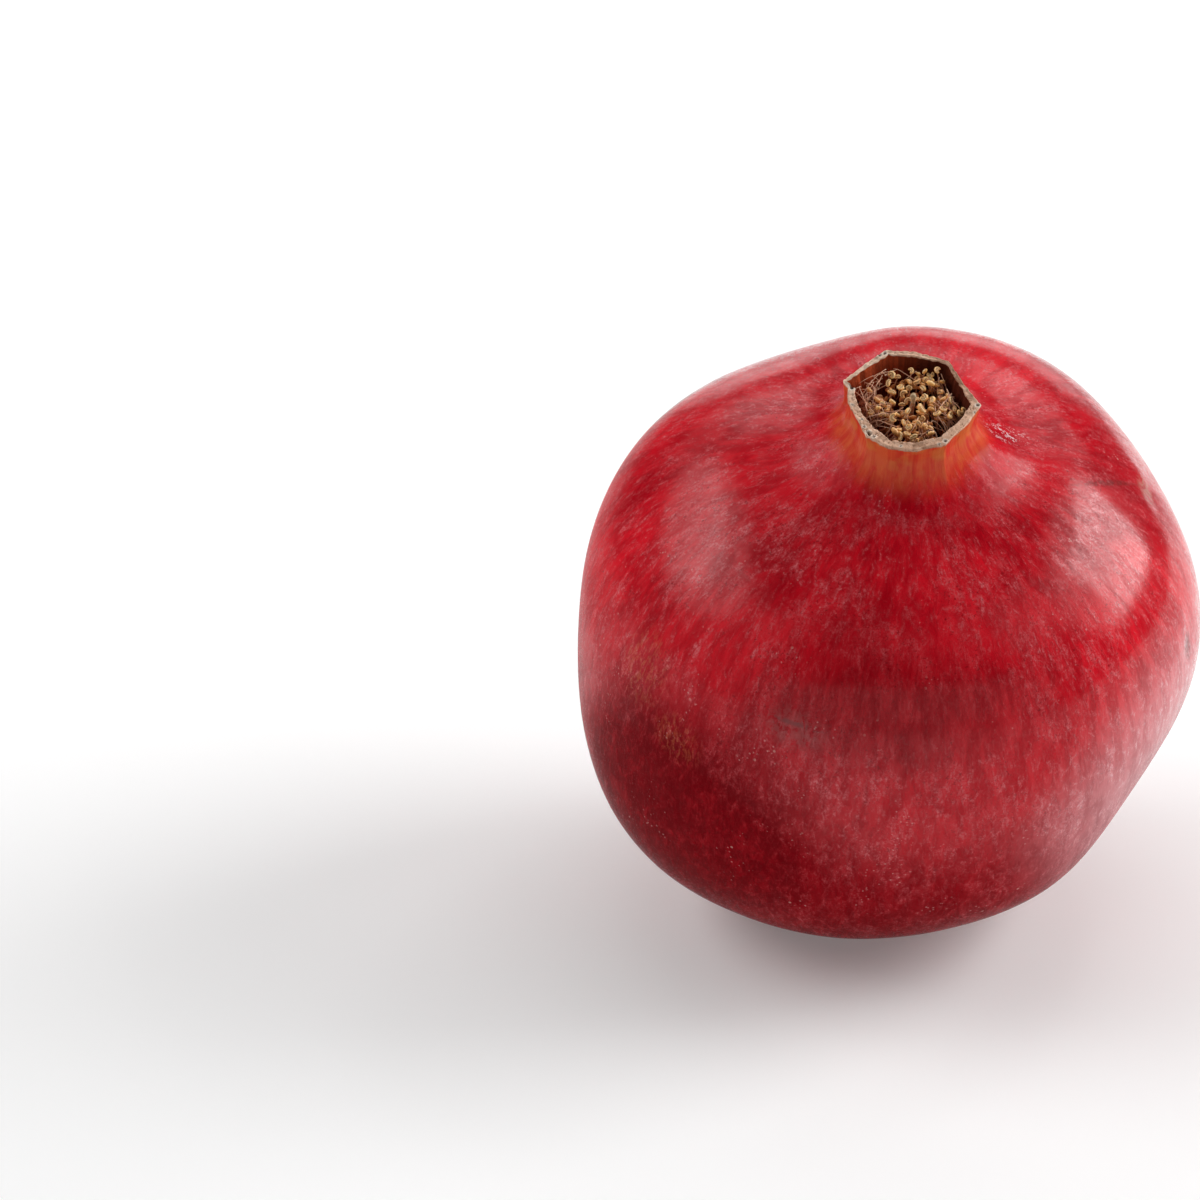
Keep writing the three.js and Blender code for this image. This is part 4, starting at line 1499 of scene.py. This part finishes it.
class POMEGRANATE_OT_stage(bpy.types.Operator):
    """Sets the plain floor, the soft lights and the camera"""

    bl_idname = "pomegranate.stage"
    bl_label = "Floor, lights and camera"

    def execute(self, context):
        stage = context.scene.pomegranate_stage
        bm = bmesh.new()
        bmesh.ops.create_grid(bm, x_segments=1, y_segments=1, size=stage.floor_size / 2)
        mesh = bpy.data.meshes.new("floor")
        bm.to_mesh(mesh)
        bm.free()
        paint = Paint("plain_floor")
        mesh.materials.append(paint.surface(
            Base_Color=stage.floor_colour,
            Roughness=0.9,
            Specular_IOR_Level=0.0,
            Emission_Color=(1, 1, 1),
            Emission_Strength=stage.floor_glow,
        ))
        floor = bpy.data.objects.new("floor", mesh)
        context.scene.collection.objects.link(floor)

        world = bpy.data.worlds.new("dim_room")
        world.use_nodes = True
        background = world.node_tree.nodes["Background"]
        background.inputs["Color"].default_value = (1, 1, 1, 1)
        background.inputs["Strength"].default_value = stage.room_light
        context.scene.world = world

        for name, setting, azimuth, elevation, distance, width, height, brightness, shape in LIGHTS:
            strength = brightness * getattr(stage, setting) if setting else brightness
            softbox(name, azimuth, elevation, distance, width, height, strength, shape)

        camera_data = bpy.data.cameras.new("camera")
        camera_data.lens = stage.camera_lens
        camera_data.sensor_width = 36
        camera_data.clip_start = 0.05
        camera_data.clip_end = 50
        camera = bpy.data.objects.new("camera", camera_data)
        context.scene.collection.objects.link(camera)
        back = Vector((0, -math.cos(CAMERA_RISE), math.sin(CAMERA_RISE)))
        camera.location = CAMERA_AIM + back * stage.camera_distance
        camera.rotation_euler = back.to_track_quat("Z", "Y").to_euler()
        context.scene.camera = camera
        context.scene.view_settings.view_transform = "Standard"
        return {"FINISHED"}


class POMEGRANATE_PT_panel(bpy.types.Panel):
    """Lists the fruit's settings and the operators that build it"""

    bl_label = "Pomegranate"
    bl_idname = "POMEGRANATE_PT_panel"
    bl_space_type = "VIEW_3D"
    bl_region_type = "UI"
    bl_category = "Pomegranate"

    def draw(self, context):
        for operator in OPERATORS:
            self.layout.operator(operator.bl_idname)
        for name, settings in SETTINGS.items():
            box = self.layout.box()
            box.label(text=name.replace("_", " ").capitalize())
            group = getattr(context.scene, name)
            for key in settings.__annotations__:
                box.prop(group, key)


OPERATORS = (
    POMEGRANATE_OT_rind,
    POMEGRANATE_OT_stamens,
    POMEGRANATE_OT_more_stamens,
    POMEGRANATE_OT_style,
    POMEGRANATE_OT_stem,
    POMEGRANATE_OT_stage,
)
SETTINGS = {
    "pomegranate_rind": RindSettings,
    "pomegranate_flower": FlowerSettings,
    "pomegranate_stem": StemSettings,
    "pomegranate_stage": StageSettings,
}


def register():
    for kind in (*SETTINGS.values(), *OPERATORS, POMEGRANATE_PT_panel):
        bpy.utils.register_class(kind)
    for name, settings in SETTINGS.items():
        setattr(bpy.types.Scene, name, PointerProperty(type=settings))


def unregister():
    for name in SETTINGS:
        delattr(bpy.types.Scene, name)
    for kind in reversed((*SETTINGS.values(), *OPERATORS, POMEGRANATE_PT_panel)):
        bpy.utils.unregister_class(kind)


def main():
    register()
    for operator in OPERATORS:
        group, name = operator.bl_idname.split(".")
        getattr(getattr(bpy.ops, group), name)()


if __name__ == "__main__":
    main()
